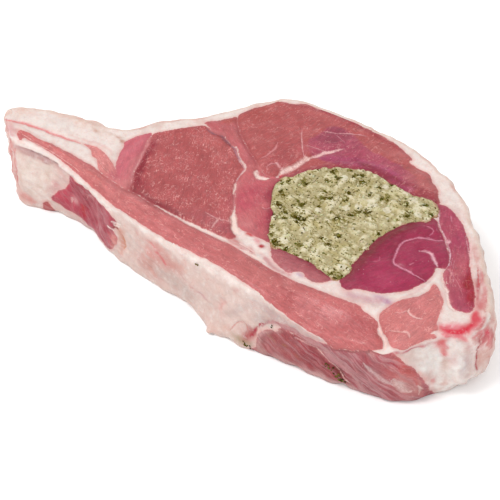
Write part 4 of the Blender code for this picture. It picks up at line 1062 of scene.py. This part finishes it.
def wallRings(outline, normal, crownHeight):
    # stacked rings from the foot up over the rounded edge, with the height of each out of 28
    radius = edgeRadius(outline)
    rings, heights = [], []
    for part in np.linspace(0, 1, steak["wallRows"]):
        z = part * (crownHeight - radius)
        share = z / crownHeight
        plan = outline[:, 3:5] * (1 - share[:, None]) + outline[:, :2] * share[:, None]
        out = outline[:, 5] * np.sin(math.pi * share)
        for x, y, lumpZ, reach, rise, depth in wallLumps + flaps:
            across = ((plan[:, 0] - x) ** 2 + (plan[:, 1] - y) ** 2) / reach ** 2
            out += depth * np.exp(-across - ((z - lumpZ) / rise) ** 2)
        for x, reach, height, depth in undercuts:
            front = ease((12 - plan[:, 1]) / 6)  # the back's foot stays as it is
            out -= depth * front * np.exp(-((plan[:, 0] - x) / reach) ** 2) * (1 - ease(z / height))
        turn = 2 * math.pi / steak["ripplePitch"]
        wave = np.sin(turn * (plan[:, 0] + 0.6 * z)) * np.sin(turn * (0.7 * plan[:, 1] + 1.3 * z) + 1)
        out += steak["ripple"] * wave - steak["footTuck"] * (1 - ease(part / 0.06))
        rings.append(np.column_stack([plan + normal * out[:, None], z]))
        heights.append(steak["level"] * share)
    for part in np.linspace(0, 1, steak["edgeRows"] + 1)[1:]:
        angle = part * math.pi / 2
        z = crownHeight - radius * (1 - math.sin(angle))
        inward = radius * (1 - math.cos(angle))
        rings.append(np.column_stack([outline[:, :2] - normal * inward[:, None], z]))
        heights.append(steak["level"] * z / crownHeight)
    return rings, heights


def wallSurface(wall, unrolled, inFront):
    # the torn front shows its own meat, the skin behind is fat, and the cut face takes over at the edge
    torn = inFront > 0.5
    look = lookAt(unrolled, *wallPaint)
    skin = np.tile(srgb(*fatTones["back"]), (len(wall), 1))
    streaks = cloud(wall * (0.35, 0.35, 1), 2.6, 36, 3)
    tintTo(skin, fatTones["streak"], ease(streaks * 1.4 - 0.1) * 0.7)
    look["fatTone"] += (skin - look["fatTone"]) * (1 - inFront)[:, None]
    look["lean"] = np.where(torn, look["lean"], -steak["farOff"])
    look["seamGap"] = np.where(torn, look["seamGap"], steak["farOff"])
    look["seam"][~torn] = (0, 0, steak["farOff"])

    topLook = lookAt(readAt(wall[:, :2], wall[:, 2]), *cutPaint)
    x, height = unrolled.T
    turnsAt = steak["turnsFront"] + steak["turnsHigher"] * ease((x - 38) / 8) * ease((65 - x) / 6)
    turnsAt = np.where(torn, turnsAt, steak["turnsBack"]) + 0.15 * cloud(wall, 1.2, 33)
    runsOn = np.where(torn, ease(topLook["lean"] / 0.3 + 1.2) * ease((height - 18) / 2), 0)
    over = np.maximum(ease((height - turnsAt + 0.5) / 0.7), runsOn)
    for key in ("leanTone", "fatTone"):
        look[key] += (topLook[key] - look[key]) * over[:, None]
    look["marbling"] += (topLook["marbling"] - look["marbling"]) * over
    look["sinew"] *= 1 - over
    for key in ("grain", "hold", "lean", "seam", "seamWidth", "seamTone", "seamGap"):
        look[key][over > 0.5] = topLook[key][over > 0.5]
    look["hold"] *= ease(np.abs(over - 0.5) * 6 - 1)
    return look


def wallRelief(wall, unrolled, inFront, look):
    # how far the skin stands out from the wall, fading out at the foot and at the cut edge
    rough = sum(amount * near(wall, x, y, reach) for x, y, reach, amount in ragged)
    grow = skinRelief(wall, look) + 0.35 * cloud(wall, 5.0, 34, 2) + 0.22 * cloud(wall, 2.2, 31, 3)
    grow = grow * inFront + 0.3 * cloud(wall, 9.0, 35, 3) * (1 - inFront) + rough * cloud(wall, 3.4, 32, 3)
    return grow * ease(unrolled[:, 1] / 2) * ease((steak["level"] - unrolled[:, 1]) / 1.5)


def buildSteak(outline, pocketRing, finish):
    count, holeCount = len(outline), len(pocketRing)
    normal = outward(outline[:, :2])
    crown = outline[:, :2] - normal * edgeRadius(outline)[:, None]
    rings, heights = wallRings(outline, normal, cutLevel(crown, outline, pocketRing))
    rows = len(rings)
    foot = rings[0][:, :2].copy()
    wall = np.concatenate(rings)
    # the wall turns back round the right end, so it is unrolled by y there too
    roundTheEnd = np.where(outline[:, 0] > 80, np.maximum(outline[:, 1] + 3, 0), 0)
    unrolled = np.column_stack([np.tile(outline[:, 0] + roundTheEnd, rows), np.concatenate(heights)])
    # the torn front starts at the right end and runs on to the tail tip, the outline's first place
    firstFront = np.hypot(outline[:, 0] - 90, outline[:, 1] - 8).argmin()
    inFront = ease((np.arange(count) - firstFront) / 8)
    inFront = np.tile(inFront * ease((count - np.arange(count)) / 8), rows)
    wallLook = wallSurface(wall, unrolled, inFront)
    wall[:, :2] += np.tile(normal, (rows, 1)) * wallRelief(wall, unrolled, inFront, wallLook)[:, None]
    print("wall rolled out")

    lip = cutLevel(pocketRing, outline, pocketRing)
    lipLook = lookAt(readAt(pocketRing, lip), *cutPaint)
    lipLook["hold"] *= 0
    lip += skinRelief(pocketRing, lipLook)
    shaftRows = steak["shaftRows"]
    parts = np.linspace(1, 0, shaftRows)
    shaft = np.concatenate([np.column_stack([pocketRing, lip * part]) for part in parts])
    shaftLook = {key: np.concatenate([value] * shaftRows) for key, value in lipLook.items()}
    points, looks = [wall, shaft], [wallLook, shaftLook]
    faces = [ringQuads(count, rows), ringQuads(holeCount, shaftRows, len(wall))]
    filled = len(wall) + len(shaft)

    # the upper cut face with its relief, then the lower one, nearly flat, where the same muscles show
    for ring, pitch, firstOuter, firstHole, isTop in (
            (crown, steak["topGrid"], len(wall) - count, len(wall), True),
            (foot, steak["bottomGrid"], 0, filled - holeCount, False)):
        grid = hexagonalGrid(ring, pitch)
        clear = (depthInside(grid, ring) > 0.5 * pitch) & (depthInside(grid, pocketRing) < -0.5 * pitch)
        xy, triangles = filledPlan(ring, [pocketRing], grid[clear])
        shared = count + holeCount
        index = np.concatenate([firstOuter + np.arange(count), firstHole + np.arange(holeCount),
                                filled + np.arange(len(xy) - shared)])
        inner = xy[shared:]
        edge = nearestOnLine(inner, ring, closed=True)[0]
        if isTop:
            level = cutLevel(inner, outline, pocketRing)
            look = lookAt(readAt(inner, level), *cutPaint)
            z = level + skinRelief(inner, look) * ease(edge / 2)
        else:
            look = lookAt(inner, *cutPaint)
            z = 0.4 * ease(0.4 - look["seamGap"] / 0.8) * ease(edge / 3)
            triangles = triangles[:, ::-1]
        points.append(np.column_stack([inner, z]))
        looks.append(look)
        faces.append(index[triangles])
        filled += len(inner)
        print("face meshed", len(triangles))

    attributes = []
    for key in ("leanTone", "fatTone", "seamTone", "lean", "seam", "seamWidth", "grain", "hold", "marbling",
                "sinew"):
        values = np.concatenate([look[key] for look in looks])
        kind = "FLOAT" if values.ndim == 1 else "FLOAT_VECTOR"
        if key.endswith("Tone"):
            kind = "FLOAT_COLOR"
            values = np.column_stack([np.maximum(values - steak["glare"], 0.004), np.ones(len(values))])
        attributes.append((key, kind, values))
    obj = makeObject("lambSteak", np.concatenate(points), sum((part.tolist() for part in faces), []), finish,
                     attributes)
    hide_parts("meat")
    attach(obj, "root")
    return wall, unrolled, np.tile(normal, (rows, 1)), inFront > 0.5


def meatFinish():
    f = Finish("rawMeatAndFat", Subsurface_Weight=0.1, Subsurface_Scale=0.003,
               Subsurface_Radius=(1.0, 0.35, 0.2), Coat_Roughness=0.25, Specular_IOR_Level=0.3)
    place = f.place()
    grain = f.attribute("grain", 1)
    depth = f.attribute("lean")
    rough = f.noise(place, 1.1, 3, 0.6) - 0.5
    fine = f.noise(place, 0.45, 2, 0.6)
    broad = f.noise(place, 7.0, 3, 0.5)
    patchy = f.noise(place, 2.4, 2, 0.5)
    lean = f.step(depth + rough * 0.9, -0.18, 0.2)

    # meat: fibre bundles, squiggles and flecks of fat, silvery sinew
    hold = f.attribute("hold")
    bundles = (f.noise(f.stretched(grain, 0.35, 1.0, 1.0), 1.4, 3, 0.6) - 0.5) * hold + 0.5
    threads = (f.noise(f.stretched(grain, 0.25, 1.0, 1.0), 0.5, 2, 0.55) - 0.5) * hold + 0.5
    squiggle = f.threads(grain, 2.7, 1.1, 0.13, 0.35) * f.step(patchy, 0.44, 0.58)
    shorter = f.threads(f.stretched(grain, 1.0, 1.3, 1.0), 1.5, 0.6, 0.12, -0.6)
    squiggle = squiggle + shorter * f.step(broad, 0.46, 0.58) * 0.7
    speckle = f.step(fine + broad * 0.3, 0.76, 0.92)
    silver = f.step(f.noise(f.stretched(grain, 0.09, 1.0, 1.0), 1.7, 3, 0.5), 0.5, 0.6)
    silver = silver * f.attribute("sinew") * hold
    ridge = f.noise(f.stretched(grain, 0.35, 1.0, 1.0), 2.2, 3, 0.55, 0.5) - 0.5
    hair = (1 - f.step(abs(ridge), 0.0, 0.022)) * f.step(patchy, 0.46, 0.6)
    marbled = f.attribute("marbling") * ((squiggle * 0.3 + hair * 0.46) * hold + speckle * 0.14)
    tint = f.attribute("leanTone", 0)
    tint = f.mix((1 - f.step(depth, 0.0, 0.6)) * 0.25, tint, srgb(226, 140, 138))
    tint = f.mix(silver * 0.75, tint, srgb(212, 160, 162))
    tint = f.scaled(tint, (bundles * 0.6 + threads * 0.36 + fine * 0.4 + broad * 0.34 + 0.03) * steak["dim"])
    tint = f.mix(marbled.least(0.7), tint, srgb(238, 176, 170))

    # fat: pink film beside the meat, faint curds and blush, tiny veins
    fatTone = f.attribute("fatTone", 0)
    film = f.step(depth + rough * 1.4, -1.5, -0.1) * (patchy * 0.9)
    fatTone = f.mix(film, fatTone, srgb(231, 168, 162))
    curds = f.noise(place, 2.2, 4, 0.62)
    fatTone = f.mix(f.step(curds, 0.56, 0.36) * 0.16, fatTone, srgb(206, 140, 126))
    fatTone = f.mix(f.step(curds, 0.52, 0.7) * 0.25, fatTone, srgb(252, 244, 238))
    vein = f.noise(place, 3.6, 2, 0.5, 1.4) - 0.5
    veins = (1 - f.step(abs(vein), 0.0, 0.018)) * f.step(broad, 0.48, 0.6)
    fatTone = f.mix(veins * 0.25, fatTone, srgb(205, 100, 105))
    fatTone = f.scaled(fatTone, (fine * 0.18 + broad * 0.16 + 0.72) * steak["dim"])

    # thin seams, of uneven width and strength
    width = f.attribute("seamWidth")
    reach = f.add("ShaderNodeVectorMath", {"operation": "LENGTH"}, {0: f.attribute("seam", 1)}, out=1)
    gap = (reach + rough * 0.8 - width * (patchy * 0.9 + 0.5)) / (width * 0.7 + 0.18)
    seam = (1 - f.step(gap, -0.8, 0.9)) * (f.step(fine + patchy, 0.7, 1.1) * 0.45 + 0.5)
    seamTone = f.scaled(f.attribute("seamTone", 0), (fine * 0.2 + 0.92) * steak["dim"])
    colour = f.mix(seam, f.mix(lean, fatTone, tint), seamTone)

    # wet glints: painted highlights, tiny pale dots mixed into the colour where the moist surface would catch
    # the light
    dots = f.cells(place, 1.5)
    paintedGlint = f.step(dots, 0.13, 0.06) * f.step(f.noise(place, 5.0, 2, 0.5), 0.5, 0.66)
    colour = f.mix(paintedGlint * 0.3, colour, srgb(250, 226, 220))
    f.connect("Base Color", colour)
    f.connect("Roughness", 0.36 + bundles * 0.22)
    f.connect("Coat Weight", 0.05 + f.step(broad, 0.4, 0.65) * 0.2)
    height = lean * (bundles * 0.6 + threads * 0.3 + marbled * 0.3) + (1 - lean) * curds * 0.7
    f.bump(height + fine * 0.2 - seam * 0.3, 0.0006, 0.8)
    return f.material


# lengths in mm
stuffing = {
    "grid": 0.42,
    "rimCount": 420,  # places round the rim
    "overlap": 1.0,  # how far the rim reaches over the meat
    "level": 28.1,
    "lipFall": 0.8,
    "lipReach": 0.9,
    "shaftLevels": [25, 20, 14, 8, 3],  # heights down the pocket
    "shaftGap": 0.3,
    "footLevel": 0.9,
    "footReach": 0.5,
    "curdRise": 0.9,  # of the first two pale curds, which stand proud
    "clumpSink": 0.25,
    "curdPitch": 2.9,
    "curdHeight": 0.8,
    "crumbPitch": 1.2,
    "crumbHeight": 0.4,
    "ragged": 0.6,
    "raggedPitch": 2.0,
    "dim": 0.72,
}

# dark clumps of herb in the stuffing: x, y, size
herbClumps = [
    (3, 18, 1.6), (11, 17, 2.2), (12, 10.5, 2.2), (15, 10, 2.4), (8, 10.5, 1.8), (4.5, 12.5, 2),
    (22, 31, 1.8), (23, 27, 1.5), (22, 41.5, 1.5), (19.5, 39.5, 1.2), (15, 35.5, 1.5), (11.5, 38, 2),
    (6, 27, 2.2), (1, 25, 1.4), (33.5, 34.5, 1.7), (35.5, 35, 1.2), (42, 36.5, 1.8), (33, 25.5, 2),
    (28.5, 21.5, 2), (25, 17, 2.6), (30, 24.5, 1.6), (30, 10, 1.8), (29, 4.5, 1.8), (20.5, -1, 1.6),
    (12.5, -4, 1.8), (17.5, -5, 2), (23.5, 37.5, 2.4), (48, 39.5, 2), (36.5, -7, 1.6), (40, -6.8, 1.6),
    (16.5, 19.5, 1.4), (14.5, 27, 1.2), (44, 24, 1), (41, 18, 1.2), (15.5, 23.5, 2.2), (18, 25, 1.8),
    (9, 8, 1.2), (12.5, 32.5, 1.6), (25.5, 6, 1.2), (7.5, 2.5, 1.2), (4.5, 7.5, 1), (45.5, 31.5, 1.8),
    (52, 36, 1.4), (54, 35, 1), (30.5, 39, 1), (29, 34, 1), (13.4, 10.6, 0.9), (15.4, 11.4, 0.9),
    (9.5, -1.5, 1.1), (3, 13, 1), (1, 19, 1), (-0.5, 22.5, 0.9), (14, -5.5, 1.2), (22, -5.6, 1.1),
    (27, -6, 1), (38.5, -8, 1), (41.5, 5, 0.8), (48.5, 43, 1), (17, 42, 0.9), (33, 43, 0.9),
]

# paler curds: x, y, reach
paleCurds = [
    (43.6, 38.8, 2.3), (40, 41, 1.4), (48.5, 33.5, 1.8), (32, 30, 2.4), (28.5, 26.5, 1.8), (15, -2, 1.8),
    (17, 37, 1.8), (38, 30, 1.8), (25, 23.5, 1.8), (18, 6.5, 1.8), (17.5, 17.5, 1.5), (38.5, -2.5, 1.8),
    (32, 40.5, 1.6),
]


def crumbHeight(xy, seed):
    # curds with smaller crumbs on them
    curds = np.abs(cloud(xy, stuffing["curdPitch"], seed)) * stuffing["curdHeight"]
    crumbs = np.abs(cloud(xy, stuffing["crumbPitch"], seed + 1)) * stuffing["crumbHeight"]
    return curds + crumbs - 0.4 + 0.1 * cloud(xy, 0.6, seed + 2)


def stuffingTop(xy, pocketRing):
    depth = depthInside(xy, pocketRing) + stuffing["ragged"] * cloud(xy, stuffing["raggedPitch"], 47, 2)
    z = stuffing["level"] + crumbHeight(xy, 41) * ease((depth + 1.2) / 2)
    z += stuffing["curdRise"] * sum(near(xy, *curd, power=4) for curd in paleCurds[:2])
    z -= stuffing["clumpSink"] * sum(near(xy, *clump) for clump in herbClumps)
    return z - stuffing["lipFall"] * np.exp(-(depth + stuffing["overlap"]) / stuffing["lipReach"])


def buildStuffing(pocketRing, finish):
    count = stuffing["rimCount"]
    ring = spreadEvenly(pocketRing, count)
    out = outward(ring)
    rim = ring + out * (stuffing["overlap"] + 0.3 * cloud(ring, 2.2, 45)[:, None])
    foot = ring + out * stuffing["footReach"]
    shaft = [np.column_stack([rim, stuffingTop(rim, pocketRing)])]
    for z in stuffing["shaftLevels"]:
        shaft.append(np.column_stack([ring - out * stuffing["shaftGap"], np.full(count, z)]))
    shaft.append(np.column_stack([foot, np.full(count, stuffing["footLevel"])]))
    side = np.concatenate(shaft)
    points, faces = [side], [ringQuads(count, len(shaft))[:, ::-1]]
    filled = len(side)
    for border, firstRim, isTop in ((rim, 0, True), (foot, len(side) - count, False)):
        grid = hexagonalGrid(border, stuffing["grid"])
        grid = grid[depthInside(grid, border) > 0.6 * stuffing["grid"]]
        xy, triangles = filledPlan(border, [], grid)
        inner = xy[count:]
        index = np.concatenate([firstRim + np.arange(count), filled + np.arange(len(inner))])
        if isTop:
            z = stuffingTop(inner, pocketRing)
        else:
            fall = np.exp(-(depthInside(inner, pocketRing) + 0.5) / 0.6)
            z = np.maximum(0.35 - crumbHeight(inner, 61) * 0.5 + 0.9 * fall, 0)
            triangles = triangles[:, ::-1]
        points.append(np.column_stack([inner, z]))
        faces.append(index[triangles])
        filled += len(inner)
    points = np.concatenate(points)
    herb = sum(near(points, *clump) for clump in herbClumps)
    pale = sum(near(points, *curd, power=4) for curd in paleCurds)
    attributes = [("herb", "FLOAT", np.minimum(herb, 1)), ("pale", "FLOAT", np.minimum(pale, 1)),
                  ("crumb", "FLOAT", crumbHeight(points[:, :2], 41) * 1.3),
                  ("rim", "FLOAT", depthInside(points[:, :2], pocketRing))]
    obj = makeObject("herbStuffing", points, sum((part.tolist() for part in faces), []), finish, attributes)
    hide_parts("herb_stuffing")
    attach(obj, "root")
    print("stuffing packed")


def stuffingFinish():
    f = Finish("herbStuffing", Subsurface_Weight=0.05, Subsurface_Scale=0.002, Roughness=0.6,
               Specular_IOR_Level=0.12)
    place = f.place()
    herb = f.attribute("herb")
    pale = f.attribute("pale")
    crumb = f.attribute("crumb")
    grit = f.noise(place, 0.9, 3, 0.6)
    stain = f.noise(place, 4.2, 2, 0.5)
    flecks = f.noise(f.stretched(place, 1.0, 1.5, 1.0), 1.6, 2, 0.55, 1.0)
    specks = f.noise(place, 0.7, 1, 0.5, 0.8)
    dust = f.noise(place, 0.35, 1, 0.5)
    # the crumbs' tone follows their height: hollows between them are painted a darker khaki as shade, the
    # raised crumbs paler and the highest palest, as painted light on their tops
    crumbLight = f.step(crumb + (grit - 0.5) * 1.5, -0.3, 0.45)
    colour = f.mix(crumbLight, srgb(180, 166, 124), srgb(218, 207, 168))
    colour = f.mix(f.step(crumb + (grit - 0.5) * 1.8, 0.2, 0.8) * 0.7, colour, srgb(232, 223, 196))
    colour = f.mix(f.step(stain, 0.5, 0.66) * 0.4, colour, srgb(186, 170, 106))
    colour = f.mix(f.step(pale + (grit - 0.5) * 1.8, 0.4, 1.0) * 0.7, colour, srgb(236, 228, 204))
    leafy = f.step(flecks + herb * 0.15 - pale * 0.1, 0.585, 0.64)
    colour = f.mix(leafy * 0.92, colour, f.mix(f.step(dust, 0.35, 0.6), srgb(92, 82, 22), srgb(144, 132, 66)))
    colour = f.mix(f.step(specks + herb * 0.07 - pale * 0.12, 0.71, 0.76) * 0.75, colour, srgb(104, 92, 34))
    smear = f.step(f.attribute("rim") + (grit - 0.5) * 1.6 + (stain - 0.5) * 2.0, 0.35, -0.35)
    colour = f.mix(smear * 0.55, colour, srgb(176, 112, 92))
    f.connect("Base Color", f.scaled(colour, stuffing["dim"]))
    f.bump(crumb * 0.3 + grit * 0.5 + specks * 0.2, 0.0005, 0.8)
    return f.material


herbs = {
    "leafTones": [(84, 73, 16), (104, 95, 34), (128, 119, 60)],
    "leafCount": 560,  # besides those of the clumps
    "grainTone": (216, 208, 168),
    "grainCount": 260,
    "wallTones": [(96, 92, 42), (74, 62, 34), (126, 116, 60)],
    "toneSpread": 8,
    "corners": 8,
}


class Scatter:
    # many small thin bits gathered into one mesh
    def __init__(self):
        self.points, self.faces, self.tones = [], [], []

    def flake(self, middle, normal, size, tone, fold=0.12, thick=0.12):
        normal = Vector(normal).normalized()
        side = normal.orthogonal().normalized()
        other = normal.cross(side)
        turn = random.uniform(0, 2 * math.pi)
        slim = random.uniform(0.4, 0.95)
        first, corners = len(self.points), herbs["corners"]
        for k in range(corners):
            angle = 2 * math.pi * k / corners
            reach = size / 2 * random.uniform(0.65, 1.1)
            u, v = reach * math.cos(angle), reach * slim * math.sin(angle)
            u, v = u * math.cos(turn) - v * math.sin(turn), u * math.sin(turn) + v * math.cos(turn)
            lift = size * random.uniform(-fold, fold)
            self.points.append(tuple(Vector(middle) + side * u + other * v + normal * lift))
        self.points.append(tuple(Vector(middle) + normal * size * thick))
        self.points.append(tuple(Vector(middle) - normal * size * thick))
        top, bottom = first + corners, first + corners + 1
        for k in range(corners):
            after = first + (k + 1) % corners
            self.faces.append((first + k, after, top))
            self.faces.append((after, first + k, bottom))
        self.tones += [srgb(*tone)] * (corners + 2)

    def build(self, name, finishName):
        f = Finish(finishName, Roughness=0.6, Specular_IOR_Level=0.0)
        f.connect("Base Color", f.scaled(f.attribute("tone", 0), stuffing["dim"]))
        tones = np.column_stack([self.tones, np.ones(len(self.tones))])
        obj = makeObject(name, self.points, self.faces, f.material, [("tone", "FLOAT_COLOR", tones)])
        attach(obj, "root")


def jitter(tone):
    spread = herbs["toneSpread"]
    return tuple(min(255, max(0, c + random.uniform(-spread, spread))) for c in tone)


def scatterHerbs(pocketRing):
    leaf, crumb = Scatter(), Scatter()
    spots = []
    for x, y, size in herbClumps:
        for _ in range(int(4 + 3 * size)):
            angle, away = random.uniform(0, 2 * math.pi), abs(random.gauss(0, 0.4)) * size
            spots.append((x + away * math.cos(angle), y + away * math.sin(angle),
                          random.uniform(0.6, 0.8 + 0.6 * size)))
    low, high = pocketRing.min(0), pocketRing.max(0)
    for _ in range(herbs["leafCount"]):
        spots.append((random.uniform(low[0], high[0]), random.uniform(low[1], high[1]),
                      random.uniform(0.4, 1.1)))
    spots = np.array(spots)
    spots = spots[depthInside(spots[:, :2], pocketRing) > 0.1]
    for (x, y, size), z in zip(spots, stuffingTop(spots[:, :2], pocketRing)):
        tilt = (random.gauss(0, 0.25), random.gauss(0, 0.25), 1)
        leaf.flake((x, y, z + 0.03), tilt, size, jitter(random.choice(herbs["leafTones"])))
    grains = np.array([(random.uniform(low[0], high[0]), random.uniform(low[1], high[1]))
                       for _ in range(herbs["grainCount"])])
    grains = grains[depthInside(grains, pocketRing) > 0.4]
    for (x, y), z in zip(grains, stuffingTop(grains, pocketRing)):
        tilt = (random.gauss(0, 0.3), random.gauss(0, 0.3), 1)
        size = random.uniform(0.8, 1.8)
        crumb.flake((x, y, z), tilt, size, jitter(herbs["grainTone"]), fold=0.1, thick=0.3)
    leaf.build("herbFlakes", "herbLeaf")
    crumb.build("paleCrumbs", "paleCrumb")
    print("herbs scattered", len(spots), len(grains))


# herb bits stuck to the torn wall: x, height out of 28, spread, how many
wallHerbs = [
    (48, 10.5, 1.6, 9), (52, 5.2, 1.4, 12), (50.5, 7.5, 1.0, 6), (-6.5, 24, 0.4, 2), (16.5, 2.4, 2, 12),
    (26.5, 17, 0.4, 2),
]


def scatterWallHerbs(wall, unrolled, normals, front):
    bits = Scatter()
    for x, level, spread, count in wallHerbs:
        for _ in range(count):
            u, v = x + random.gauss(0, spread * 0.5), level + random.gauss(0, spread * 0.6)
            miss = (unrolled[:, 0] - u) ** 2 + (unrolled[:, 1] - v) ** 2 + np.where(front, 0, 1e6)
            k = int(miss.argmin())
            out = normals[k]
            middle = wall[k] + (*(out * 0.1), 0)
            bits.flake(middle, (*out, random.uniform(-0.3, 0.3)), random.uniform(0.6, 1.5),
                       jitter(random.choice(herbs["wallTones"])))
    bits.build("wallHerbs", "wallHerb")


outline = spreadEvenly(closedCurve(stations, 24), steak["sideCount"])
ripple = steak["rimRipple"] * cloud(outline[:, :2], steak["rimPitch"], 51, 3)
outline[:, :2] += outward(outline[:, :2]) * ripple[:, None]
pocketRing = spreadEvenly(closedCurve(pocket, 24), steak["pocketCount"])
ripple = steak["pocketRipple"] * cloud(pocketRing, steak["pocketPitch"], 52, 3)
pocketRing += outward(pocketRing) * ripple[:, None]
wallParts = buildSteak(outline, pocketRing, meatFinish())
buildStuffing(pocketRing, stuffingFinish())
scatterHerbs(pocketRing)
scatterWallHerbs(*wallParts)
bpy.context.view_layer.update()

# plain pale floor and soft studio light
floorFinish = Finish("paleFloor", Roughness=0.9, Specular_IOR_Level=0.1, Base_Color=(0.96, 0.96, 0.96, 1))
floorHalf = 1500
corners = [(x * floorHalf, y * floorHalf, 0) for x, y in ((-1, -1), (1, -1), (1, 1), (-1, 1))]
floor = makeObject("floor", corners, [(0, 1, 2, 3)], floorFinish.material)
floor.location.z = -0.3 * mm  # just clear of the foot

world = bpy.data.worlds.new("studio")
bpy.context.scene.world = world
world.use_nodes = True
world.node_tree.nodes["Background"].inputs["Color"].default_value = (1, 1, 1, 1)
world.node_tree.nodes["Background"].inputs["Strength"].default_value = 1.02


def softLight(name, place, target, size, power):
    data = bpy.data.lights.new(name, "AREA")
    data.shape = "DISK"
    data.size = size
    data.energy = power
    light = bpy.data.objects.new(name, data)
    light.location = place
    light.rotation_mode = "QUATERNION"
    light.rotation_quaternion = (Vector(target) - Vector(place)).to_track_quat("-Z", "Y")
    bpy.context.scene.collection.objects.link(light)


softLight("key", (-0.4, -0.5, 1.1), (0, 0, 0), 0.5, 7.5)
softLight("fill", (0.9, -0.9, 0.6), (0, 0, 0), 0.9, 2.5)

# camera
cameraData = bpy.data.cameras.new("camera")
cameraData.lens = view["lens"]
cameraData.sensor_width = 36  # mm
camera = bpy.data.objects.new("camera", cameraData)
camera.location = Vector(eyePoint + (*originShift, 0)) * mm
camera.rotation_mode = "QUATERNION"
camera.rotation_quaternion = Vector(-back).to_track_quat("-Z", "Y")
bpy.context.scene.collection.objects.link(camera)
bpy.context.scene.camera = camera
bpy.context.scene.view_settings.view_transform = "Standard"
